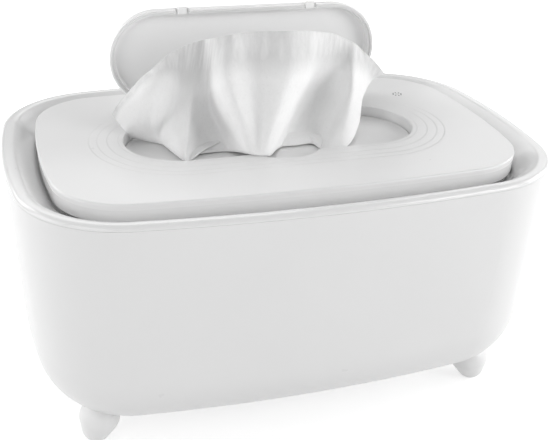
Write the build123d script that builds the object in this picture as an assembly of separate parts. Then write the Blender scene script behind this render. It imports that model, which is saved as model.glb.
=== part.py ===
from build123d import *
import os
from dataclasses import dataclass
from math import asin, atan2, cos, degrees, radians, sin, sqrt

# Baby wipe warmer: a soft-cornered tub on four feet, a hinged top unit that sits in the
# rim's trough, and a flip lid over the slot that the wipes are pulled from.
# Millimetres, +Z up, -Y is the front. The origin is on the floor under the middle.

# ---- driving sizes: tub and rim ----
RIM_LENGTH = 240.0
RIM_DEPTH = 164.0
RIM_CORNER = 46.0
RIM_BOW_LONG = 710.0
RIM_BOW_SHORT = 300.0
RIM_TOP = 117.6
ROLL = 2.3
CROWN_SIDE = 5.6
CROWN_FRONT = 4.2
CROWN_SOFTNESS = 3.0
TUB_BOTTOM = 11.4
TUB_BOTTOM_ROUND = 33.0
TUB_WALL = 2.5
TUB_DRAFT = 0.051
FRAME_WALL = 2.4
SEAM_GROOVE = 0.12
SKIRT_WALL = 1.6
SKIRT_DEPTH = 8.0
SNAP_LENGTH = 16.0
SNAP_PROUD = 0.8
SNAP_HEIGHT = 2.0
SNAP_DROP = 5.0

# ---- driving sizes: top unit ----
TROUGH_SIDE = 15.0
TROUGH_FRONT = 16.1
PLATE_CORNER = 31.8
PLATE_BOW_LONG = 976.0
PLATE_BOW_SHORT = 285.0
PLATE_PROUD = 1.7
PLATE_HEIGHT = 8.3
PLATE_EDGE = 1.0
COVER_HEIGHT = 2.7
SIDE_DRAFT = 0.06
REVEAL = 0.15
HOUSING_WALL = 2.0
PLUG_INSET = 9.6
PLUG_DEPTH = 18.4
PLUG_DRAFT = 0.03
PLUG_ROUND = 3.0

# ---- driving sizes: recess, slot and lid ----
RECESS_LENGTH = 135.5
RECESS_WIDTH = 49.3
RECESS_Y = -1.1
RECESS_DEPTH = 4.8
RECESS_EDGE = 0.8
NOTCH_HALF_WIDTH = 13.4
NOTCH_REACH = 6.4
NOTCH_BLEND = 2.0
TRAY_FLOOR = 1.8
TRAY_GROOVE = 0.7
TRAY_GROOVE_DEPTH = 0.8
THROAT_LENGTH = 76.0
THROAT_WIDTH = 20.0
THROAT_WALL = 1.6
SLOT_LENGTH = 62.0
SLOT_WIDTH = 7.0
GASKET_THICKNESS = 1.4
GASKET_LIP = 1.5
GASKET_RIM = 3.0
LID_CLEARANCE = 1.1
LID_REAR_CLEARANCE = 1.7
LID_HEIGHT = 7.2
LID_TOP_WALL = 1.8
LID_RIM_WALL = 2.6
LID_EDGE = 2.2
LID_LOW_EDGE = 0.5
LID_DOME_INSET = 1.0
LID_RIM_BELOW_PLATE = 2.9
LID_SEAL_HEIGHT = 1.1
LID_SEAL_WIDTH = 0.9
LID_SEAL_GROOVE = 0.5
LATCH_X = 31.7
LATCH_WIDTH = 4.4
LATCH_SLIT = 1.0
LATCH_NUB = 0.7

# ---- driving sizes: flip hinge ----
FLIP_OPEN_GAP = 0.5
FLIP_OPEN_Y = 42.4
FLIP_ARM_X = 30.0
FLIP_ARM_WIDTH = 7.0
FLIP_ARM_SOLE = 0.6
FLIP_ARM_THROAT = 0.6
FLIP_EYE_RADIUS = 3.4
FLIP_PIN_RADIUS = 1.5
FLIP_EAR_WIDTH = 3.0
FLIP_EAR_RADIUS = 3.6
FLIP_SIDE_GAP = 0.4
FLIP_SLOT_GAP = 0.8
FLIP_HEEL = 5.0
HINGE_WELL_HALF = 52.0
HINGE_WELL_REACH = 3.2

# ---- driving sizes: rear hinge of the top unit ----
REAR_AXIS_INSET = 8.4
REAR_AXIS_DROP = 4.6
KNUCKLE_RADIUS = 4.0
KNUCKLE_HALF = 42.0
KNUCKLE_GAP = 0.6
KNUCKLE_BORE_DEPTH = 14.0
REAR_PIN_RADIUS = 1.8
REAR_BUSH_RADIUS = 2.2
REAR_BUSH_BORE = 1.45
CHEEK_WIDTH = 8.0
CHEEK_HOLD = 6.0
BUSH_HOLD = 3.0
CHEEK_RADIUS = 4.6
NOTCH_SLACK = 0.8

# ---- driving sizes: bin and warming stack ----
BIN_FLANGE_INSET = 1.6
BIN_FLANGE = 1.8
BIN_INSET = 6.4
BIN_WALL = 1.8
BIN_DRAFT = 0.035
BIN_FLOOR_Z = 32.0
BIN_ROUND = 6.0
LEDGE_Z = 107.4
LEDGE_THICKNESS = 2.0
LEDGE_INSET = 5.6
POCKET_HEIGHT = 2.2
TROUGH_GAP = 0.5
SPREADER_THICKNESS = 1.0
FILM_THICKNESS = 0.5
INSULATION_THICKNESS = 4.0
COVER_TRAY_WALL = 1.5
HEATER_INSET = 22.0
HEATER_SCREW_X_INSET = 43.0
HEATER_SCREW_Y_INSET = 42.0
BOSS_RADIUS = 3.2
BOARD_LENGTH = 78.0
BOARD_DEPTH = 40.0
BOARD_THICKNESS = 1.6
BOARD_Y = 14.0
BOARD_LIFT = 3.0
BOARD_HOLE_INSET = 5.0
# Each board part's place on the board, then its length, depth and height.
RELAY = (-14.0, 4.0, 12.0, 9.0, 4.0)
REGULATOR = (10.0, -8.0, 9.0, 9.0, 1.6)
INLET_SOCKET = (16.0, 11.0, 10.0, 5.0, 3.5)
FILM_SOCKET = (-8.0, -12.0, 8.0, 5.0, 3.5)
CAPACITOR_X = 26.0
CAPACITOR_RADIUS = 2.5
CAPACITOR_HEIGHT = 4.0
CUTOUT = (-30.0, -12.0, 12.0, 6.0, 3.0)
INLET_X = 52.0
INLET_Z = 54.0
INLET_RADIUS = 5.5
INLET_BORE = 2.8
INLET_PIN = 1.0
INLET_DEPTH = 9.0

# ---- driving sizes: feet, fasteners and wipes ----
FOOT_X_INSET = 29.7
FOOT_Y_INSET = 33.2
FOOT_LEAN = 15.0
FOOT_LOW_BALL = 6.6
FOOT_HIGH_BALL = 8.9
FOOT_SPREAD = 6.0
FOOT_SOLE_FLAT = 0.5
FOOT_PEG_RADIUS = 2.5
SCREW_RADIUS = 1.3
SCREW_HEAD_RADIUS = 2.6
SCREW_HEAD = 1.6
SCREW_BOSS_RADIUS = 3.4
FIT_GAP = 0.15
RUNNING_GAP = 0.05
SOFT_GAP = 0.3
STACK_MARGIN = 18.0
STACK_HEIGHT = 44.0
STACK_CORNER = 12.0
WIPE_NECK_LENGTH = 38.0
WIPE_NECK_X = -8.0
# The pulled wipe's fan: each level's place past the neck, its length, depth and height.
WIPE_FAN = [
    (-1.0, -3.0, 84.0, 24.0, 4.5),
    (4.0, 3.0, 124.0, 30.0, 13.0),
    (9.0, 12.0, 104.0, 20.0, 28.0),
    (12.0, 17.0, 56.0, 8.0, 44.0),
]
LEAD_RADIUS = 1.0
LEAD_BEND = 6.6
LEAD_TIGHT_BEND = 3.0
LEAD_SET_BACK = 7.0

# ---- levels and places worked out from the driving sizes ----
PLATE_LENGTH = RIM_LENGTH - 2 * TROUGH_SIDE
PLATE_DEPTH = RIM_DEPTH - 2 * TROUGH_FRONT
REAR_AXIS_Y = RIM_DEPTH / 2 - REAR_AXIS_INSET
PLATE_TOP = RIM_TOP + PLATE_PROUD
PLATE_BOTTOM = PLATE_TOP - PLATE_HEIGHT
SEAM_Z = RIM_TOP - ROLL
COVER_BOTTOM = PLATE_TOP - COVER_HEIGHT
PLUG_BOTTOM = PLATE_TOP - PLUG_DEPTH
RECESS_Z = PLATE_TOP - RECESS_DEPTH
POCKET_TOP = LEDGE_Z + POCKET_HEIGHT
REAR_AXIS_Z = RIM_TOP - REAR_AXIS_DROP
LID_LENGTH = RECESS_LENGTH - 2 * LID_CLEARANCE
LID_WIDTH = RECESS_WIDTH - LID_CLEARANCE - LID_REAR_CLEARANCE
LID_Y = RECESS_Y - (LID_REAR_CLEARANCE - LID_CLEARANCE) / 2
LID_SHUT_REAR = LID_Y + LID_WIDTH / 2
# The axis that carries the lid's rear lower edge from the recess to its open place.
_SPAN = FLIP_OPEN_Y + LID_RIM_BELOW_PLATE
_RISE = LID_SHUT_REAR + FLIP_OPEN_GAP
FLIP_AXIS_Y = (_SPAN + _RISE) / 2
FLIP_AXIS_Z = PLATE_TOP - (_SPAN - _RISE) / 2
LID_LOW = PLATE_TOP - LID_RIM_BELOW_PLATE
ARM_TOP = LID_LOW + LID_HEIGHT - LID_EDGE
# The arm's flat heel stands on end when the lid is open, and rests on the slot's rear end.
FLIP_SLOT_END = FLIP_AXIS_Y + ARM_TOP - FLIP_AXIS_Z + RUNNING_GAP
BIN_UNDERSIDE = BIN_FLOOR_Z - BIN_WALL
TUB_FLOOR = TUB_BOTTOM + TUB_WALL
STACK_LENGTH = PLATE_LENGTH - 2 * STACK_MARGIN
STACK_DEPTH = PLATE_DEPTH - 2 * STACK_MARGIN
# Shares of the plate's half length and half depth, front, middle and rear.
SCREW_POINTS = [
    (side * along * PLATE_LENGTH / 2, across * PLATE_DEPTH / 2)
    for along, across in ((0.762, -0.576), (0.838, 0.061), (0.533, 0.712))
    for side in (-1, 1)
]
HEATER_SCREW_POINTS = [
    (sx * (PLATE_LENGTH / 2 - HEATER_SCREW_X_INSET), sy * (PLATE_DEPTH / 2 - HEATER_SCREW_Y_INSET))
    for sx in (-1, 1)
    for sy in (-1, 1)
]
LIGHT_X = PLATE_LENGTH / 2 - 26.3
LIGHT_Y = PLATE_DEPTH / 2 - 31.7
LIGHT_RADIUS = 4.6
LIGHT_SKIN = 0.8


@dataclass(frozen=True)
class SoftOutline:
    """A rectangle with bowed sides and round corners, as eight tangent arcs."""

    length: float
    depth: float
    corner: float
    bow_long: float
    bow_short: float

    def inset(self, distance):
        """The parallel outline that lies distance inside this one."""
        return SoftOutline(
            self.length - 2 * distance,
            self.depth - 2 * distance,
            self.corner - distance,
            self.bow_long - distance,
            self.bow_short - distance,
        )

    def wire(self, z=0.0):
        """The closed outline at height z."""
        front = Vector(0, self.bow_long - self.depth / 2)
        right = Vector(self.length / 2 - self.bow_short, 0)
        reach_front = self.bow_long - self.corner
        reach_right = self.bow_short - self.corner
        apart = right - front
        span = apart.length
        along = (span**2 + reach_front**2 - reach_right**2) / (2 * span)
        aside = sqrt(reach_front**2 - along**2)
        unit = apart.normalized()
        across = Vector(-unit.Y, unit.X)
        tips = [front + unit * along + across * aside, front + unit * along - across * aside]
        tip = max(tips, key=lambda p: p.X - p.Y)
        low = degrees(atan2(tip.Y - front.Y, tip.X - front.X))
        high = degrees(atan2(tip.Y - right.Y, tip.X - right.X))
        arcs = [
            (front.X, front.Y, self.bow_long, -180 - low, low),
            (tip.X, tip.Y, self.corner, low, high),
            (right.X, right.Y, self.bow_short, high, -high),
            (tip.X, -tip.Y, self.corner, -high, -low),
            (front.X, -front.Y, self.bow_long, -low, 180 + low),
            (-tip.X, -tip.Y, self.corner, 180 + low, 180 + high),
            (-right.X, right.Y, self.bow_short, 180 + high, 180 - high),
            (-tip.X, tip.Y, self.corner, 180 - high, 180 - low),
        ]
        edges = [CenterArc((x, y), r, start, end - start).edge() for x, y, r, start, end in arcs]
        return Pos(0, 0, z) * Wire(edges)

    def face(self, z=0.0):
        """The filled outline at height z."""
        return Face(self.wire(z))


RIM = SoftOutline(RIM_LENGTH, RIM_DEPTH, RIM_CORNER, RIM_BOW_LONG, RIM_BOW_SHORT)
PLATE = SoftOutline(PLATE_LENGTH, PLATE_DEPTH, PLATE_CORNER, PLATE_BOW_LONG, PLATE_BOW_SHORT)
TROUGH_MOUTH = SoftOutline(
    RIM_LENGTH - 2 * CROWN_SIDE,
    RIM_DEPTH - 2 * CROWN_FRONT,
    RIM_CORNER - CROWN_SIDE,
    RIM_BOW_LONG - CROWN_FRONT,
    RIM_BOW_SHORT - CROWN_SIDE,
)


def slab(outline, low, high):
    """An upright block of the outline between two heights."""
    return extrude(outline.face(low), amount=high - low)


def tapered(low_outline, low, high_outline, high):
    """A block that runs straight from one outline to another."""
    return loft([low_outline.face(low), high_outline.face(high)], ruled=True)


def stadium(length, width, low, high, y=0.0):
    """An upright block with half-round ends."""
    return Pos(0, y, low) * extrude(SlotOverall(length, width), amount=high - low)


def box_between(x0, x1, y0, y1, z0, z1):
    """A block given by its two corners."""
    centre = Pos((x0 + x1) / 2, (y0 + y1) / 2, (z0 + z1) / 2)
    return centre * Box(x1 - x0, y1 - y0, z1 - z0)


def post(x, y, radius, low, high):
    """An upright round post."""
    return Pos(x, y, (low + high) / 2) * Cylinder(radius, high - low)


def rod(x0, x1, y, z, radius):
    """A round bar along X."""
    return Pos((x0 + x1) / 2, y, z) * Rot(0, 90, 0) * Cylinder(radius, x1 - x0)


def edges_at(part, z, tolerance=0.01):
    """The edges that lie flat at height z."""
    flat = [e for e in part.edges() if abs(e.bounding_box().min.Z - z) < tolerance]
    return [e for e in flat if abs(e.bounding_box().max.Z - z) < tolerance]


# ---- the tub ----
def tub_form(wall):
    """The tub's solid form, wall deep inside its outer skin."""
    bottom = TUB_BOTTOM + wall
    foot = RIM.inset(wall + TUB_DRAFT * (SEAM_Z - bottom))
    form = tapered(foot, bottom, RIM.inset(wall), SEAM_Z)
    return fillet(edges_at(form, bottom), TUB_BOTTOM_ROUND - wall)


def snap_places():
    """Middle and direction of each snap on the skirt: two a long side, one a short side."""
    half_length = RIM_LENGTH / 2 - TUB_WALL
    half_depth = RIM_DEPTH / 2 - TUB_WALL
    places = [(x, side * half_depth, 0) for x in (-55, 55) for side in (-1, 1)]
    return places + [(side * half_length, 0, 90) for side in (-1, 1)]


def snaps(extra):
    """The snap lugs, grown by extra for the pockets that take them."""
    depth = 2 * (SNAP_PROUD + SKIRT_WALL)
    lug = Box(SNAP_LENGTH + 2 * extra, depth, SNAP_HEIGHT + 2 * extra)
    return [Pos(x, y, SEAM_Z - SNAP_DROP) * Rot(0, 0, turn) * lug for x, y, turn in snap_places()]


def skirt_ring():
    """The rim frame's locating skirt inside the tub's mouth."""
    outer = TUB_WALL + FIT_GAP
    return mouth_form(outer) - mouth_form(outer + SKIRT_WALL)


def mouth_form(inset):
    """The block that lies inset inside the tub's drafted skin, as deep as the skirt."""
    low = RIM.inset(inset + TUB_DRAFT * SKIRT_DEPTH)
    return tapered(low, SEAM_Z - SKIRT_DEPTH, RIM.inset(inset), SEAM_Z)


def outer_tub():
    """The outer shell with its rounded bottom, foot holes, inlet hole and board posts."""
    shell = tub_form(0) - tub_form(TUB_WALL)
    pockets = snaps(FIT_GAP)
    reach = mouth_form(TUB_WALL - SNAP_PROUD - FIT_GAP)
    shell -= [pocket & reach for pocket in pockets]
    for x, y in foot_places():
        shell -= post(x, y, FOOT_PEG_RADIUS + FIT_GAP, 0, TUB_BOTTOM_ROUND)
    bore = Rot(90, 0, 0) * Cylinder(INLET_RADIUS + FIT_GAP, 4 * INLET_DEPTH)
    shell -= Pos(INLET_X, RIM_DEPTH / 2, INLET_Z) * bore
    for x, y in board_posts():
        stand = post(x, y, BOSS_RADIUS, TUB_FLOOR - TUB_WALL / 2, TUB_FLOOR + BOARD_LIFT)
        shell += stand
    for x, y in board_posts():
        shell -= post(x, y, SCREW_RADIUS, TUB_FLOOR, TUB_FLOOR + BOARD_LIFT)
    return shell


def foot_places():
    """The four foot centres, at their upper balls."""
    x = RIM_LENGTH / 2 - FOOT_X_INSET
    y = RIM_DEPTH / 2 - FOOT_Y_INSET
    return [(sx * x, sy * y) for sy in (-1, 1) for sx in (-1, 1)]


def ball_points(radius, height, start, end):
    """The start, middle and end of a ball's outline between two angles."""
    angles = [radians(turn) for turn in (start, (start + end) / 2, end)]
    return [(radius * cos(turn), height + radius * sin(turn)) for turn in angles]


def foot(x, y, hull):
    """A rounded foot that leans outwards, trimmed to the tub's bottom, with its peg."""
    touch = -degrees(asin((FOOT_HIGH_BALL - FOOT_LOW_BALL) / FOOT_SPREAD))
    sole, low_middle, low_edge = ball_points(FOOT_LOW_BALL, 0, -90, touch)
    high_edge, high_middle, head = ball_points(FOOT_HIGH_BALL, FOOT_SPREAD, touch, 90)
    side = ThreePointArc(sole, low_middle, low_edge) + Line(low_edge, high_edge)
    side += ThreePointArc(high_edge, high_middle, head) + Line(head, sole)
    knob = revolve(Plane.XZ * make_face(side), Axis.Z)
    hand = 1 if x > 0 else -1
    lean = hand * FOOT_LEAN
    reach = FOOT_SPREAD * sin(radians(lean))
    low_z = FOOT_LOW_BALL - FOOT_SOLE_FLAT
    knob = Pos(x + reach, y, low_z) * Rot(0, -lean, 0) * knob
    knob -= hull
    knob -= Pos(x, y, -FOOT_LOW_BALL) * Box(
        4 * FOOT_HIGH_BALL, 4 * FOOT_HIGH_BALL, 2 * FOOT_LOW_BALL
    )
    peg = post(x, y, FOOT_PEG_RADIUS, TUB_BOTTOM / 2, TUB_BOTTOM_ROUND / 2 + TUB_BOTTOM)
    return knob + peg


# ---- the rim frame ----
def rear_notch():
    """The gap in the rear rim that the top unit's knuckle turns in."""
    half = KNUCKLE_HALF + KNUCKLE_GAP
    front = PLATE_DEPTH / 2 - CROWN_SIDE
    back = REAR_AXIS_Y + KNUCKLE_RADIUS + NOTCH_SLACK
    low = REAR_AXIS_Z - KNUCKLE_RADIUS - NOTCH_SLACK
    return box_between(-half, half, front, back, low, RIM_TOP + ROLL) + box_between(
        -half, half, back, RIM_DEPTH, SEAM_Z, RIM_TOP + ROLL
    )


def cheeks():
    """The two bosses beside the notch that hold the rear hinge's pin and bush."""
    start = KNUCKLE_HALF + KNUCKLE_GAP
    solids = []
    for side in (-1, 1):
        x0, x1 = sorted((side * start, side * (start + CHEEK_WIDTH)))
        boss = rod(x0, x1, REAR_AXIS_Y, REAR_AXIS_Z, CHEEK_RADIUS)
        web = box_between(
            x0,
            x1,
            REAR_AXIS_Y - CHEEK_RADIUS,
            REAR_AXIS_Y + CHEEK_RADIUS,
            REAR_AXIS_Z,
            SEAM_Z,
        )
        solids.append((boss + web) & mouth_form(TUB_WALL + FIT_GAP))
    return solids


def rim_frame():
    """The rolled rim, the sloping trough inside it, the ledge for the bin and the skirt."""
    crown = slab(RIM, SEAM_Z, RIM_TOP)
    crown = fillet(edges_at(crown, RIM_TOP), ROLL - FIT_GAP)
    trough_foot = PLATE.inset(SIDE_DRAFT * PLATE_HEIGHT - TROUGH_GAP)
    wall_foot = trough_foot.inset(-FRAME_WALL)
    slope = tapered(
        wall_foot,
        LEDGE_Z - LEDGE_THICKNESS,
        RIM.inset(TUB_WALL + FIT_GAP),
        SEAM_Z,
    )
    frame = crown + slope
    frame -= tapered(trough_foot, POCKET_TOP, TROUGH_MOUTH, RIM_TOP)
    frame = fillet(inner_crown_edges(frame), CROWN_SOFTNESS)
    frame -= slab(trough_foot, LEDGE_Z, POCKET_TOP)
    frame -= slab(PLATE.inset(LEDGE_INSET), LEDGE_Z - 2 * LEDGE_THICKNESS, LEDGE_Z)
    frame += skirt_ring()
    reach = mouth_form(TUB_WALL - SNAP_PROUD)
    frame += [lug & reach for lug in snaps(0)]
    seam = slab(RIM, SEAM_Z, SEAM_Z + SEAM_GROOVE)
    frame -= seam - slab(RIM.inset(2 * SEAM_GROOVE), SEAM_Z, SEAM_Z + SEAM_GROOVE)
    frame -= rear_notch()
    frame += cheeks()
    start = KNUCKLE_HALF + KNUCKLE_GAP
    frame -= rod(start, start + CHEEK_HOLD, REAR_AXIS_Y, REAR_AXIS_Z, REAR_PIN_RADIUS)
    frame -= rod(-start - CHEEK_HOLD, -start, REAR_AXIS_Y, REAR_AXIS_Z, REAR_BUSH_RADIUS)
    lead_hole = LEAD_RADIUS + SOFT_GAP
    frame -= post(lead_rise_x(), REAR_AXIS_Y, lead_hole, RIM_TOP / 2, REAR_AXIS_Z)
    return frame


def lead_rise_x():
    """Where the lead rises through the left cheek, beyond the bush's end."""
    return -KNUCKLE_HALF - KNUCKLE_GAP - (CHEEK_HOLD + BUSH_HOLD) / 2 - SOFT_GAP


def inner_crown_edges(frame):
    """The edges where the crown turns down into the trough."""
    flat = edges_at(frame, RIM_TOP)
    limit = RIM.inset((ROLL + CROWN_FRONT) / 2)
    return [
        e
        for e in flat
        if abs(e.center().X) < limit.length / 2 and abs(e.center().Y) < limit.depth / 2
        and is_inner(e, limit)
    ]


def is_inner(edge, limit):
    """True where the edge's middle lies inside the limit outline."""
    middle = edge.position_at(0.5)
    return limit.face(middle.Z).is_inside(middle)


# ---- the bin and what warms it ----
def bin_form(wall):
    """The bin's solid form, wall deep inside its outer skin."""
    bottom = BIN_UNDERSIDE + wall
    top = LEDGE_Z + BIN_FLANGE
    mouth = PLATE.inset(BIN_INSET + wall)
    form = tapered(mouth.inset(BIN_DRAFT * (top - bottom)), bottom, mouth, top)
    return fillet(edges_at(form, bottom), BIN_ROUND - wall)


def inner_bin():
    """The wipes bin, hung by its flange, with screw bosses under its floor."""
    flange = slab(PLATE.inset(BIN_FLANGE_INSET), LEDGE_Z, LEDGE_Z + BIN_FLANGE)
    tub = bin_form(0) + flange - bin_form(BIN_WALL)
    for x, y in HEATER_SCREW_POINTS:
        boss_low = BIN_UNDERSIDE - SPREADER_THICKNESS - FILM_THICKNESS - INSULATION_THICKNESS
        tub += post(x, y, BOSS_RADIUS, boss_low, BIN_UNDERSIDE)
        tub -= post(x, y, SCREW_RADIUS, boss_low, BIN_UNDERSIDE)
    return tub


def heater_layer(high, thickness, gap):
    """One flat layer under the bin's floor, holed for the bin's bosses."""
    outline = PLATE.inset(HEATER_INSET)
    layer = slab(outline, high - thickness, high)
    for x, y in HEATER_SCREW_POINTS:
        layer -= post(x, y, BOSS_RADIUS + gap, high - thickness, high)
    return layer


def heat_spreader():
    """The aluminium sheet that spreads the film's warmth over the bin's floor."""
    return heater_layer(BIN_UNDERSIDE, SPREADER_THICKNESS, FIT_GAP)


def heating_film():
    """The printed heating film under the spreader."""
    return heater_layer(BIN_UNDERSIDE - SPREADER_THICKNESS, FILM_THICKNESS, FIT_GAP)


def insulation_pad():
    """The foam pad under the film, with a pocket for the thermal cut-out."""
    top = BIN_UNDERSIDE - SPREADER_THICKNESS - FILM_THICKNESS
    pad = heater_layer(top, INSULATION_THICKNESS, FIT_GAP)
    x, y, length, depth, height = CUTOUT
    pocket = Box(length + 2 * SOFT_GAP, depth + 2 * SOFT_GAP, height * 2 + 2 * SOFT_GAP)
    return pad - Pos(x, y, top) * pocket


def thermal_cutout():
    """The bimetal cut-out pressed against the film."""
    x, y, length, depth, height = CUTOUT
    top = BIN_UNDERSIDE - SPREADER_THICKNESS - FILM_THICKNESS
    case = Pos(x, y, top - height / 2) * Box(length, depth, height)
    return fillet(case.edges().filter_by(Axis.Z), 1.0)


def heater_cover():
    """The tray that clamps the warming stack under the bin, screwed to the bin's bosses."""
    high = BIN_UNDERSIDE - SPREADER_THICKNESS - FILM_THICKNESS - INSULATION_THICKNESS
    outline = PLATE.inset(HEATER_INSET - COVER_TRAY_WALL - FIT_GAP)
    tray = slab(outline, high - COVER_TRAY_WALL, BIN_UNDERSIDE - FIT_GAP)
    tray -= slab(PLATE.inset(HEATER_INSET - FIT_GAP), high, BIN_UNDERSIDE)
    for x, y in HEATER_SCREW_POINTS:
        tray -= post(x, y, SCREW_RADIUS + FIT_GAP, high - COVER_TRAY_WALL, high)
    return tray


def screw(x, y, head_low, length):
    """A pan-head screw, head down."""
    head = post(x, y, SCREW_HEAD_RADIUS, head_low, head_low + SCREW_HEAD)
    head = chamfer(edges_at(head, head_low), SCREW_HEAD / 3)
    return head + post(x, y, SCREW_RADIUS, head_low + SCREW_HEAD, head_low + length)


def heater_screws():
    """The four screws under the heater cover."""
    seat = BIN_UNDERSIDE - SPREADER_THICKNESS - FILM_THICKNESS
    seat -= INSULATION_THICKNESS + COVER_TRAY_WALL
    length = SCREW_HEAD + COVER_TRAY_WALL + INSULATION_THICKNESS
    return [screw(x, y, seat - SCREW_HEAD, length) for x, y in HEATER_SCREW_POINTS]


def board_posts():
    """The four posts under the control board."""
    dx = BOARD_LENGTH / 2 - BOARD_HOLE_INSET
    dy = BOARD_DEPTH / 2 - BOARD_HOLE_INSET
    return [(sx * dx, BOARD_Y + sy * dy) for sx in (-1, 1) for sy in (-1, 1)]


def control_board():
    """The control board with its relay, capacitor, regulator and plug sockets."""
    low = TUB_FLOOR + BOARD_LIFT
    top = low + BOARD_THICKNESS
    board = Pos(0, BOARD_Y, (low + top) / 2) * Box(BOARD_LENGTH, BOARD_DEPTH, BOARD_THICKNESS)
    for x, y, length, depth, height in (RELAY, REGULATOR, INLET_SOCKET, FILM_SOCKET):
        board += Pos(x, BOARD_Y + y, top + height / 2) * Box(length, depth, height)
    board += post(CAPACITOR_X, BOARD_Y, CAPACITOR_RADIUS, low, top + CAPACITOR_HEIGHT)
    for x, y in board_posts():
        board -= post(x, y, SCREW_RADIUS + FIT_GAP, low, top)
    return board


def board_screws():
    """The four screws that hold the control board, heads up."""
    top = TUB_FLOOR + BOARD_LIFT + BOARD_THICKNESS
    solids = []
    for x, y in board_posts():
        head = post(x, y, SCREW_HEAD_RADIUS, top, top + SCREW_HEAD)
        shank = post(x, y, SCREW_RADIUS, TUB_FLOOR + FIT_GAP, top)
        solids.append(chamfer(edges_at(head, top + SCREW_HEAD), SCREW_HEAD / 3) + shank)
    return solids


def rear_wall_y(z):
    """The outer face of the rear wall at INLET_X's side of the tub, at height z."""
    inset = TUB_DRAFT * (SEAM_Z - z)
    bow = RIM_BOW_LONG - inset
    middle = RIM_DEPTH / 2 - inset
    return middle - bow + sqrt(bow**2 - INLET_X**2)


def dc_inlet():
    """The low-voltage barrel inlet in the rear wall: body, flange and centre pin."""
    face = rear_wall_y(INLET_Z)
    back = face - INLET_DEPTH - 3
    barrel = Pos(INLET_X, (face + back) / 2, INLET_Z) * Rot(90, 0, 0) * Cylinder(
        INLET_RADIUS, face - back
    )
    inner_face = face - TUB_WALL - 1.2
    body = Pos(INLET_X, inner_face - 4.2, INLET_Z) * Box(14, 8.4, 14)
    socket = Pos(INLET_X, face - INLET_DEPTH / 2, INLET_Z) * Rot(90, 0, 0) * Cylinder(
        INLET_BORE, INLET_DEPTH
    )
    pin = Pos(INLET_X, face - INLET_DEPTH / 2 - 1, INLET_Z) * Rot(90, 0, 0) * Cylinder(
        INLET_PIN, INLET_DEPTH
    )
    return barrel + body - socket + pin


# ---- the top unit ----
def recess_form(low, high, grow=0.0):
    """The recess: a stadium, the hinge well behind it and the finger notch before it."""
    form = stadium(RECESS_LENGTH + 2 * grow, RECESS_WIDTH + 2 * grow, low, high, RECESS_Y)
    rear = RECESS_Y + RECESS_WIDTH / 2
    well = box_between(
        -HINGE_WELL_HALF - grow,
        HINGE_WELL_HALF + grow,
        rear - RECESS_WIDTH / 4,
        rear + HINGE_WELL_REACH + grow,
        low,
        high,
    )
    well = fillet(well.edges().filter_by(Axis.Z).group_by(Axis.Y)[-1], HINGE_WELL_REACH / 2)
    return form + well


def notch_form(low, high, grow=0.0):
    """The finger notch in the recess's front edge."""
    front = RECESS_Y - RECESS_WIDTH / 2
    shape = Ellipse(NOTCH_HALF_WIDTH + grow, NOTCH_REACH + grow)
    return Pos(0, front, low) * extrude(shape, amount=high - low)


def opening_outline():
    """The recess's whole outline at its floor, blended into the finger notch."""
    form = recess_form(RECESS_Z, PLATE_TOP) + notch_form(RECESS_Z, PLATE_TOP)
    outline = form.faces().sort_by(Axis.Z)[0]
    front = RECESS_Y - RECESS_WIDTH / 2
    corners = [
        v
        for v in outline.vertices()
        if abs(v.Y - front) < FIT_GAP and abs(v.X) < 2 * NOTCH_HALF_WIDTH
    ]
    return outline.fillet_2d(NOTCH_BLEND, corners)


def arm_slots(low, high, gap):
    """The two slots that the lid's arms swing through."""
    solids = []
    for side in (-1, 1):
        half = FLIP_ARM_WIDTH / 2 + gap
        slot = box_between(
            side * FLIP_ARM_X - half,
            side * FLIP_ARM_X + half,
            LID_SHUT_REAR,
            FLIP_SLOT_END,
            low,
            high,
        )
        solids.append(slot)
    return solids


def top_cover():
    """The top plate with the recess, its collar, the finger notch, arm slots and bosses."""
    seam = PLATE.inset(SIDE_DRAFT * COVER_HEIGHT)
    cover = tapered(seam, COVER_BOTTOM, PLATE, PLATE_TOP)
    cover = fillet(edges_at(cover, PLATE_TOP), PLATE_EDGE)
    collar = recess_form(RECESS_Z, COVER_BOTTOM, HOUSING_WALL)
    collar += notch_form(RECESS_Z, COVER_BOTTOM, HOUSING_WALL)
    cover += collar
    for x, y in SCREW_POINTS:
        cover += post(x, y, SCREW_BOSS_RADIUS, PLATE_BOTTOM, COVER_BOTTOM)
    cover -= extrude(opening_outline(), amount=RECESS_DEPTH, dir=(0, 0, 1))
    rim = [e for e in edges_at(cover, PLATE_TOP) if is_recess_edge(e)]
    cover = fillet(rim, RECESS_EDGE)
    cover -= arm_slots(RECESS_Z - 1, PLATE_TOP + 1, FLIP_SLOT_GAP)
    for x, y in SCREW_POINTS:
        cover -= post(x, y, SCREW_RADIUS, PLATE_BOTTOM, COVER_BOTTOM + FIT_GAP)
    cover -= post(LIGHT_X, LIGHT_Y, LIGHT_RADIUS + FIT_GAP, COVER_BOTTOM, PLATE_TOP - LIGHT_SKIN)
    return cover


def is_recess_edge(edge):
    """True for the edges round the recess rather than round the plate."""
    middle = edge.position_at(0.5)
    return abs(middle.X) < RECESS_LENGTH / 2 + 1 and abs(middle.Y) < PLATE_DEPTH / 3


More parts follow.
